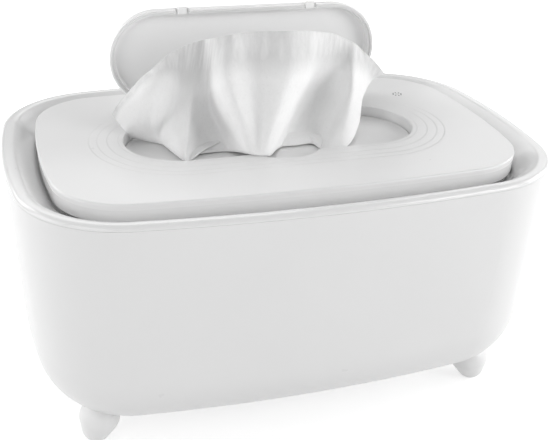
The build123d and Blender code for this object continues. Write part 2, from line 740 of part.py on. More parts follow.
def dispensing_tray():
    """The recess's floor, with the throat that the wipes come up through."""
    high = RECESS_Z
    tray = recess_form(high - TRAY_FLOOR, high, HOUSING_WALL)
    tray += notch_form(high - TRAY_FLOOR, high, HOUSING_WALL)
    tray += stadium(
        THROAT_LENGTH + 2 * THROAT_WALL,
        THROAT_WIDTH + 2 * THROAT_WALL,
        PLUG_BOTTOM,
        high - TRAY_FLOOR,
        LID_Y,
    )
    tray -= stadium(THROAT_LENGTH, THROAT_WIDTH, PLUG_BOTTOM, high, LID_Y)
    seat = high - GASKET_THICKNESS
    tray -= stadium(
        THROAT_LENGTH + 2 * THROAT_WALL - 1.0,
        THROAT_WIDTH + 2 * THROAT_WALL - 1.0,
        seat,
        high,
        LID_Y,
    )
    groove_low = high - TRAY_GROOVE_DEPTH
    tray -= recess_form(groove_low, high) - recess_form(groove_low, high, -TRAY_GROOVE)
    tray -= arm_slots(high - TRAY_FLOOR - 1, high + 1, FLIP_SLOT_GAP)
    return tray


def slot_gasket():
    """The silicone membrane whose raised lips hold the wipe that is half out."""
    low = RECESS_Z - GASKET_THICKNESS
    outer_length = THROAT_LENGTH + 2 * THROAT_WALL - 1.0 - 2 * FIT_GAP
    outer_width = THROAT_WIDTH + 2 * THROAT_WALL - 1.0 - 2 * FIT_GAP
    gasket = stadium(outer_length, outer_width, low, RECESS_Z, LID_Y)
    gasket += stadium(
        SLOT_LENGTH + 2 * GASKET_RIM,
        SLOT_WIDTH + 2 * GASKET_RIM,
        low,
        RECESS_Z + GASKET_LIP,
        LID_Y,
    )
    gasket = fillet(edges_at(gasket, RECESS_Z + GASKET_LIP), GASKET_LIP * 0.6)
    return gasket - stadium(SLOT_LENGTH, SLOT_WIDTH, low, RECESS_Z + GASKET_LIP, LID_Y)


def knuckle():
    """The rear knuckle and the tongue that joins it to the lower housing."""
    barrel = rod(-KNUCKLE_HALF, KNUCKLE_HALF, REAR_AXIS_Y, REAR_AXIS_Z, KNUCKLE_RADIUS)
    tongue = box_between(
        -KNUCKLE_HALF,
        KNUCKLE_HALF,
        PLATE_DEPTH / 2 - 4 * HOUSING_WALL,
        REAR_AXIS_Y,
        REAR_AXIS_Z - KNUCKLE_RADIUS / 2,
        COVER_BOTTOM - REVEAL,
    )
    return barrel + tongue


def flip_ears():
    """The four ears in the lower housing that carry the flip lid's pin."""
    floor = PLUG_BOTTOM + HOUSING_WALL
    solids = []
    for side in (-1, 1):
        for hand in (-1, 1):
            inner = FLIP_ARM_WIDTH / 2 + FLIP_SIDE_GAP
            near = side * FLIP_ARM_X + hand * inner
            far = near + hand * FLIP_EAR_WIDTH
            x0, x1 = sorted((near, far))
            ear = rod(x0, x1, FLIP_AXIS_Y, FLIP_AXIS_Z, FLIP_EAR_RADIUS)
            ear += box_between(
                x0,
                x1,
                FLIP_AXIS_Y - FLIP_EAR_RADIUS,
                FLIP_AXIS_Y + FLIP_EAR_RADIUS,
                floor - HOUSING_WALL / 2,
                FLIP_AXIS_Z,
            )
            solids.append(ear)
    return solids


def plug_form(wall):
    """The plug under the plate that fills the bin's mouth."""
    low = PLUG_BOTTOM + wall
    top = PLATE.inset(PLUG_INSET + wall)
    foot = top.inset(PLUG_DRAFT * (PLATE_BOTTOM - low))
    form = tapered(foot, low, top, PLATE_BOTTOM)
    return fillet(edges_at(form, low), PLUG_ROUND - wall * 0.5)


def lower_housing():
    """The hollow underside: side band, plug, screw towers, lid ears and rear knuckle."""
    foot = PLATE.inset(SIDE_DRAFT * PLATE_HEIGHT)
    head = PLATE.inset(SIDE_DRAFT * COVER_HEIGHT + REVEAL)
    band = tapered(foot, PLATE_BOTTOM, head, COVER_BOTTOM)
    hollow = tapered(
        foot.inset(HOUSING_WALL),
        PLATE_BOTTOM + HOUSING_WALL,
        head.inset(HOUSING_WALL),
        COVER_BOTTOM,
    )
    housing = band + plug_form(0) + knuckle()
    housing -= hollow
    well = plug_form(HOUSING_WALL)
    cap = slab(PLATE.inset(PLUG_INSET + HOUSING_WALL), PLATE_BOTTOM, PLATE_BOTTOM + HOUSING_WALL)
    housing -= well
    housing -= cap
    for x, y in SCREW_POINTS:
        housing += post(x, y, SCREW_BOSS_RADIUS, PLUG_BOTTOM + HOUSING_WALL / 2, PLATE_BOTTOM)
    housing += flip_ears()
    throat_length = THROAT_LENGTH + 2 * THROAT_WALL + 2 * FIT_GAP
    throat_width = THROAT_WIDTH + 2 * THROAT_WALL + 2 * FIT_GAP
    housing -= stadium(throat_length, throat_width, PLUG_BOTTOM, PLATE_BOTTOM, LID_Y)
    for x, y in SCREW_POINTS:
        housing -= post(x, y, SCREW_RADIUS + FIT_GAP, PLUG_BOTTOM, PLATE_BOTTOM)
        housing -= post(x, y, SCREW_HEAD_RADIUS + FIT_GAP, PLUG_BOTTOM, PLUG_BOTTOM + SCREW_HEAD)
    for side in (-1, 1):
        half = FLIP_ARM_WIDTH / 2 + FLIP_SIDE_GAP + FLIP_EAR_WIDTH
        x = side * FLIP_ARM_X
        housing -= rod(x - half, x + half, FLIP_AXIS_Y, FLIP_AXIS_Z, FLIP_PIN_RADIUS)
    end = KNUCKLE_HALF
    depth = KNUCKLE_BORE_DEPTH
    pin_gap = REAR_PIN_RADIUS + RUNNING_GAP
    bush_gap = REAR_BUSH_RADIUS + RUNNING_GAP
    housing -= rod(end - depth, end, REAR_AXIS_Y, REAR_AXIS_Z, pin_gap)
    housing -= rod(-end, depth - end, REAR_AXIS_Y, REAR_AXIS_Z, bush_gap)
    duct = box_between(
        depth - end - 4,
        depth - end + 1,
        PLATE_DEPTH / 2 - 5 * HOUSING_WALL,
        REAR_AXIS_Y + 1,
        REAR_AXIS_Z - LEAD_RADIUS - SOFT_GAP,
        REAR_AXIS_Z + LEAD_RADIUS + SOFT_GAP,
    )
    return housing - duct


def cover_screws():
    """The six long screws that draw the lower housing to the top cover."""
    length = PLATE_BOTTOM - PLUG_BOTTOM + COVER_BOTTOM - PLATE_BOTTOM - 1
    return [screw(x, y, PLUG_BOTTOM, length) for x, y in SCREW_POINTS]


def plug_seal():
    """The soft ring under the plate that closes on the bin's flange."""
    outer = PLATE.inset(BIN_FLANGE_INSET + 1.2)
    inner = outer.inset(3.0)
    low = LEDGE_Z + BIN_FLANGE + SOFT_GAP
    return slab(outer, low, PLATE_BOTTOM) - slab(inner, low, PLATE_BOTTOM)


def touch_board():
    """The small board under the icon, with its touch pad and lamp."""
    top = PLATE_TOP - LIGHT_SKIN - 3.0
    board = Pos(LIGHT_X - 4, LIGHT_Y - 3, top - 3.2) * Box(22, 15, 1.2)
    return board + Pos(LIGHT_X, LIGHT_Y, top - 2.1) * Box(4, 4, 1.2)


def board_holder():
    """The two ribs of the housing that carry the touch board."""
    top = PLATE_TOP - LIGHT_SKIN - 3.0 - 3.8
    floor = PLUG_BOTTOM + HOUSING_WALL / 2
    return [
        box_between(x - 0.75, x + 0.75, LIGHT_Y - 9, LIGHT_Y + 3, floor, top)
        for x in (LIGHT_X - 13, LIGHT_X + 4)
    ]


def light_guide():
    """The clear disc that carries the lamp's light to the icon."""
    high = PLATE_TOP - LIGHT_SKIN
    return post(LIGHT_X, LIGHT_Y, LIGHT_RADIUS, high - 4.5, high)


def flip_pin():
    """The steel pin through the lid's two arms and their ears."""
    reach = FLIP_ARM_X + FLIP_ARM_WIDTH / 2 + FLIP_SIDE_GAP + FLIP_EAR_WIDTH
    return rod(-reach, reach, FLIP_AXIS_Y, FLIP_AXIS_Z, FLIP_PIN_RADIUS)


# ---- the flip lid, modelled shut and then swung open ----
def swing_open(part):
    """Turns a shut lid piece a quarter turn about the flip axis."""
    axis = Axis((0, FLIP_AXIS_Y, FLIP_AXIS_Z), (1, 0, 0))
    return part.rotate(axis, -90)


def lid_outline(grow, low, high):
    """A block of the lid's stadium outline."""
    return stadium(LID_LENGTH + 2 * grow, LID_WIDTH + 2 * grow, low, high, LID_Y)


def lid_arm(x):
    """One gooseneck arm from the lid's rear wall to the flip pin, with its flat heel."""
    rear = LID_SHUT_REAR
    root = rear - LID_RIM_WALL
    sole = LID_LOW + FLIP_ARM_SOLE
    eye = FLIP_EYE_RADIUS
    y, z = FLIP_AXIS_Y, FLIP_AXIS_Z
    heel = (rear + FLIP_HEEL, ARM_TOP)
    throat = (rear + FLIP_ARM_THROAT, sole)
    side = Line((root, sole), throat)
    side += ThreePointArc(throat, (rear + 3.4, LID_LOW - 1.4), (y - eye, z))
    side += ThreePointArc((y - eye, z), (y, z - eye), (y + eye, z))
    side += ThreePointArc((y + eye, z), (y + 0.2, z + 9.4), heel)
    side += Line(heel, (root, ARM_TOP))
    side += Line((root, ARM_TOP), (root, sole))
    profile = Plane.YZ * make_face(side)
    arm = extrude(profile, amount=FLIP_ARM_WIDTH / 2, both=True)
    half = FLIP_ARM_WIDTH / 2
    arm -= rod(-half, half, y, z, FLIP_PIN_RADIUS + RUNNING_GAP)
    return Pos(x, 0, 0) * arm


def latch(x):
    """One snap tongue at the lid's front rim, with a slit each side and a nub on its face."""
    low = LID_LOW
    front = LID_Y - LID_WIDTH / 2
    nub = box_between(
        x - LATCH_WIDTH / 2,
        x + LATCH_WIDTH / 2,
        front - LATCH_NUB,
        front + LID_RIM_WALL,
        low,
        low + 2.2,
    )
    nub = fillet(nub.edges().filter_by(Axis.X).group_by(Axis.Y)[0], LATCH_NUB * 0.8)
    return nub


def latch_slits(x):
    """The two slits that free a snap tongue from the rim."""
    low = LID_LOW
    front = LID_Y - LID_WIDTH / 2
    solids = []
    for hand in (-1, 1):
        middle = x + hand * (LATCH_WIDTH + LATCH_SLIT) / 2
        solids.append(
            box_between(
                middle - LATCH_SLIT / 2,
                middle + LATCH_SLIT / 2,
                front - LATCH_NUB,
                front + LID_RIM_WALL,
                low,
                low + LID_HEIGHT - LID_TOP_WALL - 1.2,
            )
        )
    return solids


def flip_lid():
    """The dished lid with its rim, two snap tongues and two gooseneck arms."""
    low = LID_LOW
    high = low + LID_HEIGHT
    with BuildPart() as shut:
        with BuildSketch(Plane.XY.offset(low)):
            with Locations((0, LID_Y)):
                SlotOverall(LID_LENGTH, LID_WIDTH)
        with BuildSketch(Plane.XY.offset(high)):
            with Locations((0, LID_Y)):
                SlotOverall(LID_LENGTH - 2 * LID_DOME_INSET, LID_WIDTH - 2 * LID_DOME_INSET)
        loft(ruled=True)
    body = fillet(edges_at(shut.part, high), LID_EDGE)
    body = fillet(edges_at(body, low), LID_LOW_EDGE)
    dish = lid_outline(-LID_RIM_WALL, low, high - LID_TOP_WALL)
    dish = fillet(edges_at(dish, high - LID_TOP_WALL), LID_EDGE / 2)
    body -= dish
    for x in (-FLIP_ARM_X, FLIP_ARM_X):
        body += lid_arm(x)
    groove = lid_outline(-lid_seal_inset(), low, low + LID_SEAL_GROOVE)
    groove -= lid_outline(-lid_seal_inset() - LID_SEAL_WIDTH, low, low + LID_SEAL_GROOVE)
    body -= groove
    for x in (-LATCH_X, LATCH_X):
        body -= latch_slits(x)
        body += latch(x)
    return swing_open(body)


def lid_seal_inset():
    """How far the seal ring lies inside the lid's outline."""
    return (LID_RIM_WALL - LID_SEAL_WIDTH) / 2


def lid_seal():
    """The soft ring in the groove of the lid's rim, which closes on the recess floor."""
    top = LID_LOW + LID_SEAL_GROOVE
    low = top - LID_SEAL_GROOVE - LID_SEAL_HEIGHT
    inset = lid_seal_inset()
    ring = lid_outline(-inset, low, top) - lid_outline(-inset - LID_SEAL_WIDTH, low, top)
    for x in (-LATCH_X, LATCH_X):
        front = LID_Y - LID_WIDTH / 2
        half = LATCH_WIDTH / 2 + LATCH_SLIT
        ring -= box_between(x - half, x + half, front, front + LID_RIM_WALL, low, top)
    return swing_open(ring)


# ---- rear hinge pieces and leads ----
def rear_hinge_pin():
    """The short steel pin at the right of the knuckle."""
    start = KNUCKLE_HALF - KNUCKLE_BORE_DEPTH + 1
    end = KNUCKLE_HALF + KNUCKLE_GAP + CHEEK_HOLD
    return rod(start, end, REAR_AXIS_Y, REAR_AXIS_Z, REAR_PIN_RADIUS)


def rear_hinge_bush():
    """The hollow bush at the left of the knuckle, which the lead passes through."""
    start = -KNUCKLE_HALF - KNUCKLE_GAP - BUSH_HOLD
    end = KNUCKLE_BORE_DEPTH - KNUCKLE_HALF - 1
    bush = rod(start, end, REAR_AXIS_Y, REAR_AXIS_Z, REAR_BUSH_RADIUS)
    return bush - rod(start, end, REAR_AXIS_Y, REAR_AXIS_Z, REAR_BUSH_BORE)


def lead(points, radii):
    """A round lead along straight runs joined by tangent arcs."""
    path = FilletPolyline(*points, radius=radii)
    start = Plane(origin=path @ 0, z_dir=path % 0)
    return sweep(start * Circle(LEAD_RADIUS), path=path)


def hinge_lead():
    """The lead from the control board up behind the bin and into the bush."""
    low = TUB_FLOOR + BOARD_LIFT + BOARD_THICKNESS / 2
    rise = REAR_AXIS_Z - low
    x = lead_rise_x()
    start_x = RELAY[0] - RELAY[2]
    board_rear = BOARD_Y + BOARD_DEPTH / 2
    back = REAR_AXIS_Y - LEAD_SET_BACK
    points = [
        (start_x, board_rear, low),
        (start_x, (board_rear + back) / 2, low),
        ((start_x + x) / 2, back - 2 * LEAD_RADIUS, low + rise * 0.23),
        (x, back, low + rise * 0.48),
        (x, back, low + rise * 0.8),
        (x, REAR_AXIS_Y, low + rise * 0.9),
        (x, REAR_AXIS_Y, REAR_AXIS_Z),
        (KNUCKLE_BORE_DEPTH - KNUCKLE_HALF - 1, REAR_AXIS_Y, REAR_AXIS_Z),
    ]
    return lead(points, [LEAD_BEND] * 5 + [LEAD_TIGHT_BEND])


# ---- the wipes ----
def wipe_stack():
    """The folded wipes that lie in the bin."""
    low = BIN_FLOOR_Z + SOFT_GAP
    stack = Pos(0, 0, low + STACK_HEIGHT / 2) * Box(STACK_LENGTH, STACK_DEPTH, STACK_HEIGHT)
    return fillet(stack.edges().filter_by(Axis.Z), STACK_CORNER)


def wipe():
    """The wipe that stands half out of the slot: a neck that opens into a fan."""
    neck_low = PLUG_BOTTOM + 1
    neck_high = RECESS_Z + GASKET_LIP + 1.0
    neck_width = SLOT_WIDTH - 2 * SOFT_GAP
    neck = (WIPE_NECK_X, LID_Y, WIPE_NECK_LENGTH, neck_width)
    sections = [(*neck, neck_low), (*neck, neck_high)]
    sections += [
        (WIPE_NECK_X + x, LID_Y + y, length, depth, PLATE_TOP + z)
        for x, y, length, depth, z in WIPE_FAN
    ]
    faces = [
        Pos(x, y, z) * Ellipse(length / 2, width / 2).face()
        for x, y, length, width, z in sections
    ]
    return loft(faces[:2], ruled=True) + loft(faces[1:], ruled=True)


def build_nodes():
    """Every node's solids by name."""
    hull = tub_form(0)
    nodes = {
        "outer_tub": outer_tub(),
        "rim_frame": rim_frame(),
        "inner_bin": inner_bin(),
        "heat_spreader": heat_spreader(),
        "heating_film": heating_film(),
        "insulation_pad": insulation_pad(),
        "thermal_cutout": thermal_cutout(),
        "heater_cover": heater_cover(),
        "heater_screws": heater_screws(),
        "control_board": control_board(),
        "board_screws": board_screws(),
        "dc_inlet": dc_inlet(),
        "rear_hinge_pin": rear_hinge_pin(),
        "rear_hinge_bush": rear_hinge_bush(),
        "hinge_lead": hinge_lead(),
        "wipe_stack": wipe_stack(),
        "top_cover": top_cover(),
        "lower_housing": lower_housing() + board_holder(),
        "dispensing_tray": dispensing_tray(),
        "slot_gasket": slot_gasket(),
        "cover_screws": cover_screws(),
        "plug_seal": plug_seal(),
        "touch_board": touch_board(),
        "light_guide": light_guide(),
        "flip_pin": flip_pin(),
        "wipe": wipe(),
        "flip_lid": flip_lid(),
        "lid_seal": lid_seal(),
    }
    names = ["foot_front_left", "foot_front_right", "foot_rear_left", "foot_rear_right"]
    for name, (x, y) in zip(names, foot_places()):
        nodes[name] = foot(x, y, hull)
    return nodes


def main():
    """Writes one STEP file for each node."""
    os.makedirs("parts", exist_ok=True)
    for name, solids in build_nodes().items():
        shape = Compound(children=list(solids)) if isinstance(solids, list) else solids
        export_step(shape, os.path.join("parts", name + ".step"))


main()
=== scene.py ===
"""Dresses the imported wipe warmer: smooth mouldings, damp cloth, finishes and a plain studio."""
import logging
import math
from dataclasses import dataclass, field
from enum import Enum
from typing import Dict, List, Sequence, Tuple

import bmesh
import bpy
from mathutils import Matrix, Vector, noise


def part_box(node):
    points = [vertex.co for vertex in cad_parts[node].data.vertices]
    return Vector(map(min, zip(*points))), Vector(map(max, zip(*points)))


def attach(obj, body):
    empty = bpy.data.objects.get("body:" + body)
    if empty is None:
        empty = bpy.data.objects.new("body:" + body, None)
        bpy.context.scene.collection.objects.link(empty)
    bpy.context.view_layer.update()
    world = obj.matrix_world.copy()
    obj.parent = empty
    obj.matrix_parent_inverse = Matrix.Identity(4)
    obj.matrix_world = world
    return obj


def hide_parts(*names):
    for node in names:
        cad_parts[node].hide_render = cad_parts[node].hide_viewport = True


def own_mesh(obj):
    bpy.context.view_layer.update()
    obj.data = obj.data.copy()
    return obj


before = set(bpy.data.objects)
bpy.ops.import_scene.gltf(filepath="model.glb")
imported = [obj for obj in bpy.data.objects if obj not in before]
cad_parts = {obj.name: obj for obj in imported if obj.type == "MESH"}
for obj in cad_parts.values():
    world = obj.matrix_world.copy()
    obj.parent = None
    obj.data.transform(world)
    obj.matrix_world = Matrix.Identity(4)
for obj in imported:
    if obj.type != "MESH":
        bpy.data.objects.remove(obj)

LOG = logging.getLogger("wipe_warmer")
MM = 0.001
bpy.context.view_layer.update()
Point = Tuple[float, float, float]
Colour = Tuple[float, float, float]
Pair = Tuple[float, float]
Socket = bpy.types.NodeSocket

CLOTH_MAP = "cloth"
NORMAL_WEIGHT = 60
CUT_SNAP = 1e-6
NEAR = 0.01 * MM
BELOW_ROUND = 0.05 * MM
ROUND_SPANS = (0.008, 0.004, 0.002, 0.001)
SHORTEST_SQUARED = 1e-18
END_SHORT = 1e-9


class Body(str, Enum):
    """The moving bodies that a piece can ride on."""

    TUB = "tub"
    TOP_UNIT = "top_unit"
    LID = "lid"


# ------------------------------------------------------------------ finishes
@dataclass(frozen=True)
class Moulding:
    """A white moulded plastic: satin or matte, with fine texture and soft mottling."""

    name: str
    colour: Colour = (0.80, 0.80, 0.80)
    roughness: float = 0.3
    roughness_swing: float = 0.05
    grain_mm: float = 0.6
    grain_depth_mm: float = 0.004
    coat: float = 0.0
    specular: float = 0.5
    coat_roughness: float = 0.08
    cloud_mm: float = 45.0
    patch_mm: float = 9.0
    tones: Pair = (0.985, 1.015)

    def build(self) -> bpy.types.Material:
        """Makes the material.

        Returns:
            The node-based material.
        """
        nodes = Nodes(self.name)
        place = nodes.add("ShaderNodeTexCoord").outputs["Object"]
        shader = nodes.principled(self.roughness, self.specular)
        shader.inputs["Coat Weight"].default_value = self.coat
        shader.inputs["Coat Roughness"].default_value = self.coat_roughness
        cloud = nodes.noise(place, 1.0 / (self.cloud_mm * MM), 3.0)
        tone = nodes.mix(cloud, *shades(self.colour, self.tones))
        nodes.link(tone, shader.inputs["Base Color"])
        patch = nodes.noise(place, 1.0 / (self.patch_mm * MM), 4.0)
        low = self.roughness - self.roughness_swing
        high = self.roughness + self.roughness_swing
        nodes.link(nodes.spread(patch, low, high), shader.inputs["Roughness"])
        grain = nodes.noise(place, 1.0 / (self.grain_mm * MM), 2.0)
        nodes.link(nodes.bump(grain, self.grain_depth_mm * MM), shader.inputs["Normal"])
        return nodes.material


@dataclass(frozen=True)
class RidgedMoulding(Moulding):
    """The cover's moulding, with faint steps that echo the recess's outline."""

    half_length_mm: float = 43.1
    radius_mm: float = 24.65
    centre_y_mm: float = -1.1
    steps_mm: Tuple[float, ...] = (2.4, 7.2, 11.6, 15.2)
    step_half_mm: float = 0.45
    step_depth_mm: float = 0.10

    def build(self) -> bpy.types.Material:
        """Makes the material with its stepped rings.

        Returns:
            The node-based material.
        """
        material = Moulding.build(self)
        nodes = Nodes.of(material)
        shader = nodes.tree.nodes["finish"]
        before = shader.inputs["Normal"].links[0].from_socket
        place = nodes.add("ShaderNodeTexCoord").outputs["Object"]
        split = nodes.add("ShaderNodeSeparateXYZ")
        nodes.link(place, split.inputs[0])
        across = nodes.math("ABSOLUTE", split.outputs["X"])
        across = nodes.math("SUBTRACT", across, self.half_length_mm * MM)
        across = nodes.math("MAXIMUM", across, 0.0)
        along = nodes.math("SUBTRACT", split.outputs["Y"], self.centre_y_mm * MM)
        reach = nodes.math("SQRT", nodes.math("ADD", nodes.square(across), nodes.square(along)))
        reach = nodes.math("SUBTRACT", reach, self.radius_mm * MM)
        total = None
        for step in self.steps_mm:
            start, end = (step - self.step_half_mm) * MM, (step + self.step_half_mm) * MM
            rise = nodes.smooth_step(reach, start, end)
            total = rise if total is None else nodes.math("ADD", total, rise)
        stepped = nodes.bump(total, self.step_depth_mm * MM, before)
        nodes.link(stepped, shader.inputs["Normal"])
        return material


@dataclass(frozen=True)
class NonWoven:
    """Damp non-woven cloth: loose fibres, an embossed dot pattern and a soft glow."""

    name: str
    colour: Colour = (0.89, 0.89, 0.89)
    roughness: float = 0.85
    specular: float = 0.25
    sheen: float = 0.25
    sheen_roughness: float = 0.6
    glow: float = 0.15
    glow_depth_mm: float = 2.0
    fibre_scale: float = 900.0
    fibre_twist: float = 1.2
    fibre_stretch: Point = (1.0, 0.35, 1.0)
    fibre_tones: Pair = (0.95, 1.03)
    fibre_depth_mm: float = 0.14
    dot_mm: float = 1.5
    dot_scatter: float = 0.7
    dot_edge: Pair = (0.12, 0.34)
    dot_tone: float = 0.96
    dot_depth_mm: float = 0.02
    strand_scale: float = 420.0
    strand_stretch: Point = (1.0, 0.22, 1.0)
    hem_mm: Pair = (68.0, 83.0)
    hem_tone: float = 0.62

    def build(self) -> bpy.types.Material:
        """Makes the material; its pattern follows the cloth's own UV map, in metres.

        Returns:
            The node-based material.
        """
        nodes = Nodes(self.name)
        uv = nodes.add("ShaderNodeUVMap")
        uv.uv_map = CLOTH_MAP
        flat = uv.outputs["UV"]
        shader = self.soft_shader(nodes)
        stretched = nodes.stretch(flat, self.fibre_stretch)
        fibres = nodes.noise(stretched, self.fibre_scale, 4.0, self.fibre_twist)
        dots = nodes.cells(flat, 1.0 / (self.dot_mm * MM), self.dot_scatter)
        dimple = nodes.smooth_step(dots.outputs["Distance"], *self.dot_edge)
        tone = nodes.mix(fibres, *shades(self.colour, self.fibre_tones))
        pressed = nodes.mix(dimple, scaled(self.colour, self.dot_tone), tone)
        worn = nodes.mix(self.whole(nodes, flat), scaled(self.colour, self.hem_tone), pressed)
        nodes.link(worn, shader.inputs["Base Color"])
        bump = nodes.bump(fibres, self.fibre_depth_mm * MM)
        bump = nodes.bump(dimple, self.dot_depth_mm * MM, bump)
        nodes.link(bump, shader.inputs["Normal"])
        return nodes.material

    def soft_shader(self, nodes: "Nodes") -> bpy.types.Node:
        """Adds the main shader with its sheen and its soft glow.

        Args:
            nodes: The material's nodes.

        Returns:
            The shader node.
        """
        shader = nodes.principled(self.roughness, self.specular)
        shader.inputs["Sheen Weight"].default_value = self.sheen
        shader.inputs["Sheen Roughness"].default_value = self.sheen_roughness
        shader.inputs["Subsurface Weight"].default_value = self.glow
        shader.inputs["Subsurface Scale"].default_value = self.glow_depth_mm * MM
        shader.inputs["Subsurface Radius"].default_value = (1.0, 1.0, 1.0)
        return shader

    def whole(self, nodes: "Nodes", flat: Socket) -> Socket:
        """Finds where the cloth is whole: below the hem, and along single strands past it.

        Args:
            nodes: The material's nodes.
            flat: The place on the flat cloth, in metres.

        Returns:
            1 where the cloth is whole, less where it thins.
        """
        split = nodes.add("ShaderNodeSeparateXYZ")
        nodes.link(flat, split.inputs[0])
        combed = nodes.stretch(flat, self.strand_stretch)
        strands = nodes.noise(combed, self.strand_scale, 3.0)
        start, end = (edge * MM for edge in self.hem_mm)
        hem = nodes.smooth_step(split.outputs[1], start, end, 1.0, 0.0)
        return nodes.math("MAXIMUM", hem, strands)


@dataclass(frozen=True)
class Metal:
    """Bare or plated metal with fine directional wear."""

    name: str
    colour: Colour = (0.6, 0.6, 0.61)
    roughness: float = 0.35
    specular: float = 0.5
    streaks: Point = (1.0, 18.0, 18.0)
    streak_scale: float = 400.0
    tones: Pair = (0.88, 1.05)
    wear: Pair = (-0.08, 0.1)
    scratch_mm: float = 0.004

    def build(self) -> bpy.types.Material:
        """Makes the material.

        Returns:
            The node-based material.
        """
        nodes = Nodes(self.name)
        place = nodes.add("ShaderNodeTexCoord").outputs["Object"]
        shader = nodes.principled(self.roughness, self.specular)
        shader.inputs["Metallic"].default_value = 1.0
        lines = nodes.noise(nodes.stretch(place, self.streaks), self.streak_scale, 3.0)
        tone = nodes.mix(lines, *shades(self.colour, self.tones))
        nodes.link(tone, shader.inputs["Base Color"])
        low, high = (self.roughness + swing for swing in self.wear)
        nodes.link(nodes.spread(lines, low, high), shader.inputs["Roughness"])
        nodes.link(nodes.bump(lines, self.scratch_mm * MM), shader.inputs["Normal"])
        return nodes.material


@dataclass(frozen=True)
class Foam:
    """Closed-cell foam: a dark skin with small open pits, with painted shade in the pits and painted
    light on their rims.
    """

    name: str
    colour: Colour = (0.09, 0.09, 0.10)
    roughness: float = 0.9
    specular: float = 0.2
    cell_mm: float = 0.9
    tones: Pair = (0.6, 1.3)
    pit_mm: float = 0.15

    def build(self) -> bpy.types.Material:
        """Makes the material.

        Returns:
            The node-based material.
        """
        nodes = Nodes(self.name)
        place = nodes.add("ShaderNodeTexCoord").outputs["Object"]
        shader = nodes.principled(self.roughness, self.specular)
        cells = nodes.cells(place, 1.0 / (self.cell_mm * MM)).outputs["Distance"]
        # Painted shade and highlight: the colour darkens into each pit and lightens at its rim,
        # following the bump.
        tone = nodes.mix(cells, *shades(self.colour, self.tones))
        nodes.link(tone, shader.inputs["Base Color"])
        nodes.link(nodes.bump(cells, self.pit_mm * MM), shader.inputs["Normal"])
        return nodes.material


@dataclass(frozen=True)
class CircuitBoard:
    """Solder-masked board with faint copper tracks under the mask."""

    name: str
    mask: Colour = (0.02, 0.10, 0.05)
    track: Colour = (0.04, 0.20, 0.09)
    roughness: float = 0.35
    specular: float = 0.5
    track_scale: float = 260.0
    track_edge: float = 0.62
    relief_mm: float = 0.03

    def build(self) -> bpy.types.Material:
        """Makes the material.

        Returns:
            The node-based material.
        """
        nodes = Nodes(self.name)
        place = nodes.add("ShaderNodeTexCoord").outputs["Object"]
        shader = nodes.principled(self.roughness, self.specular)
        tracks = nodes.cells(place, self.track_scale)
        tracks.distance = "MANHATTAN"
        tracks.feature = "F2"
        edge = nodes.math("GREATER_THAN", tracks.outputs["Distance"], self.track_edge)
        nodes.link(nodes.mix(edge, self.mask, self.track), shader.inputs["Base Color"])
        nodes.link(nodes.bump(edge, self.relief_mm * MM), shader.inputs["Normal"])
        return nodes.material


def scaled(colour: Colour, factor: float) -> Colour:
    """A colour made lighter or darker by a factor.

    Args:
        colour: The colour.
        factor: What each channel is multiplied by.

    Returns:
        The new colour, no channel above 1.
    """
    return tuple(min(1.0, channel * factor) for channel in colour)


def shades(colour: Colour, factors: Pair) -> Tuple[Colour, Colour]:
    """The two shades of a colour that a pattern runs between.

    Args:
        colour: The colour.
        factors: The factor of each shade.

    Returns:
        The first and the second shade.
    """
    return scaled(colour, factors[0]), scaled(colour, factors[1])


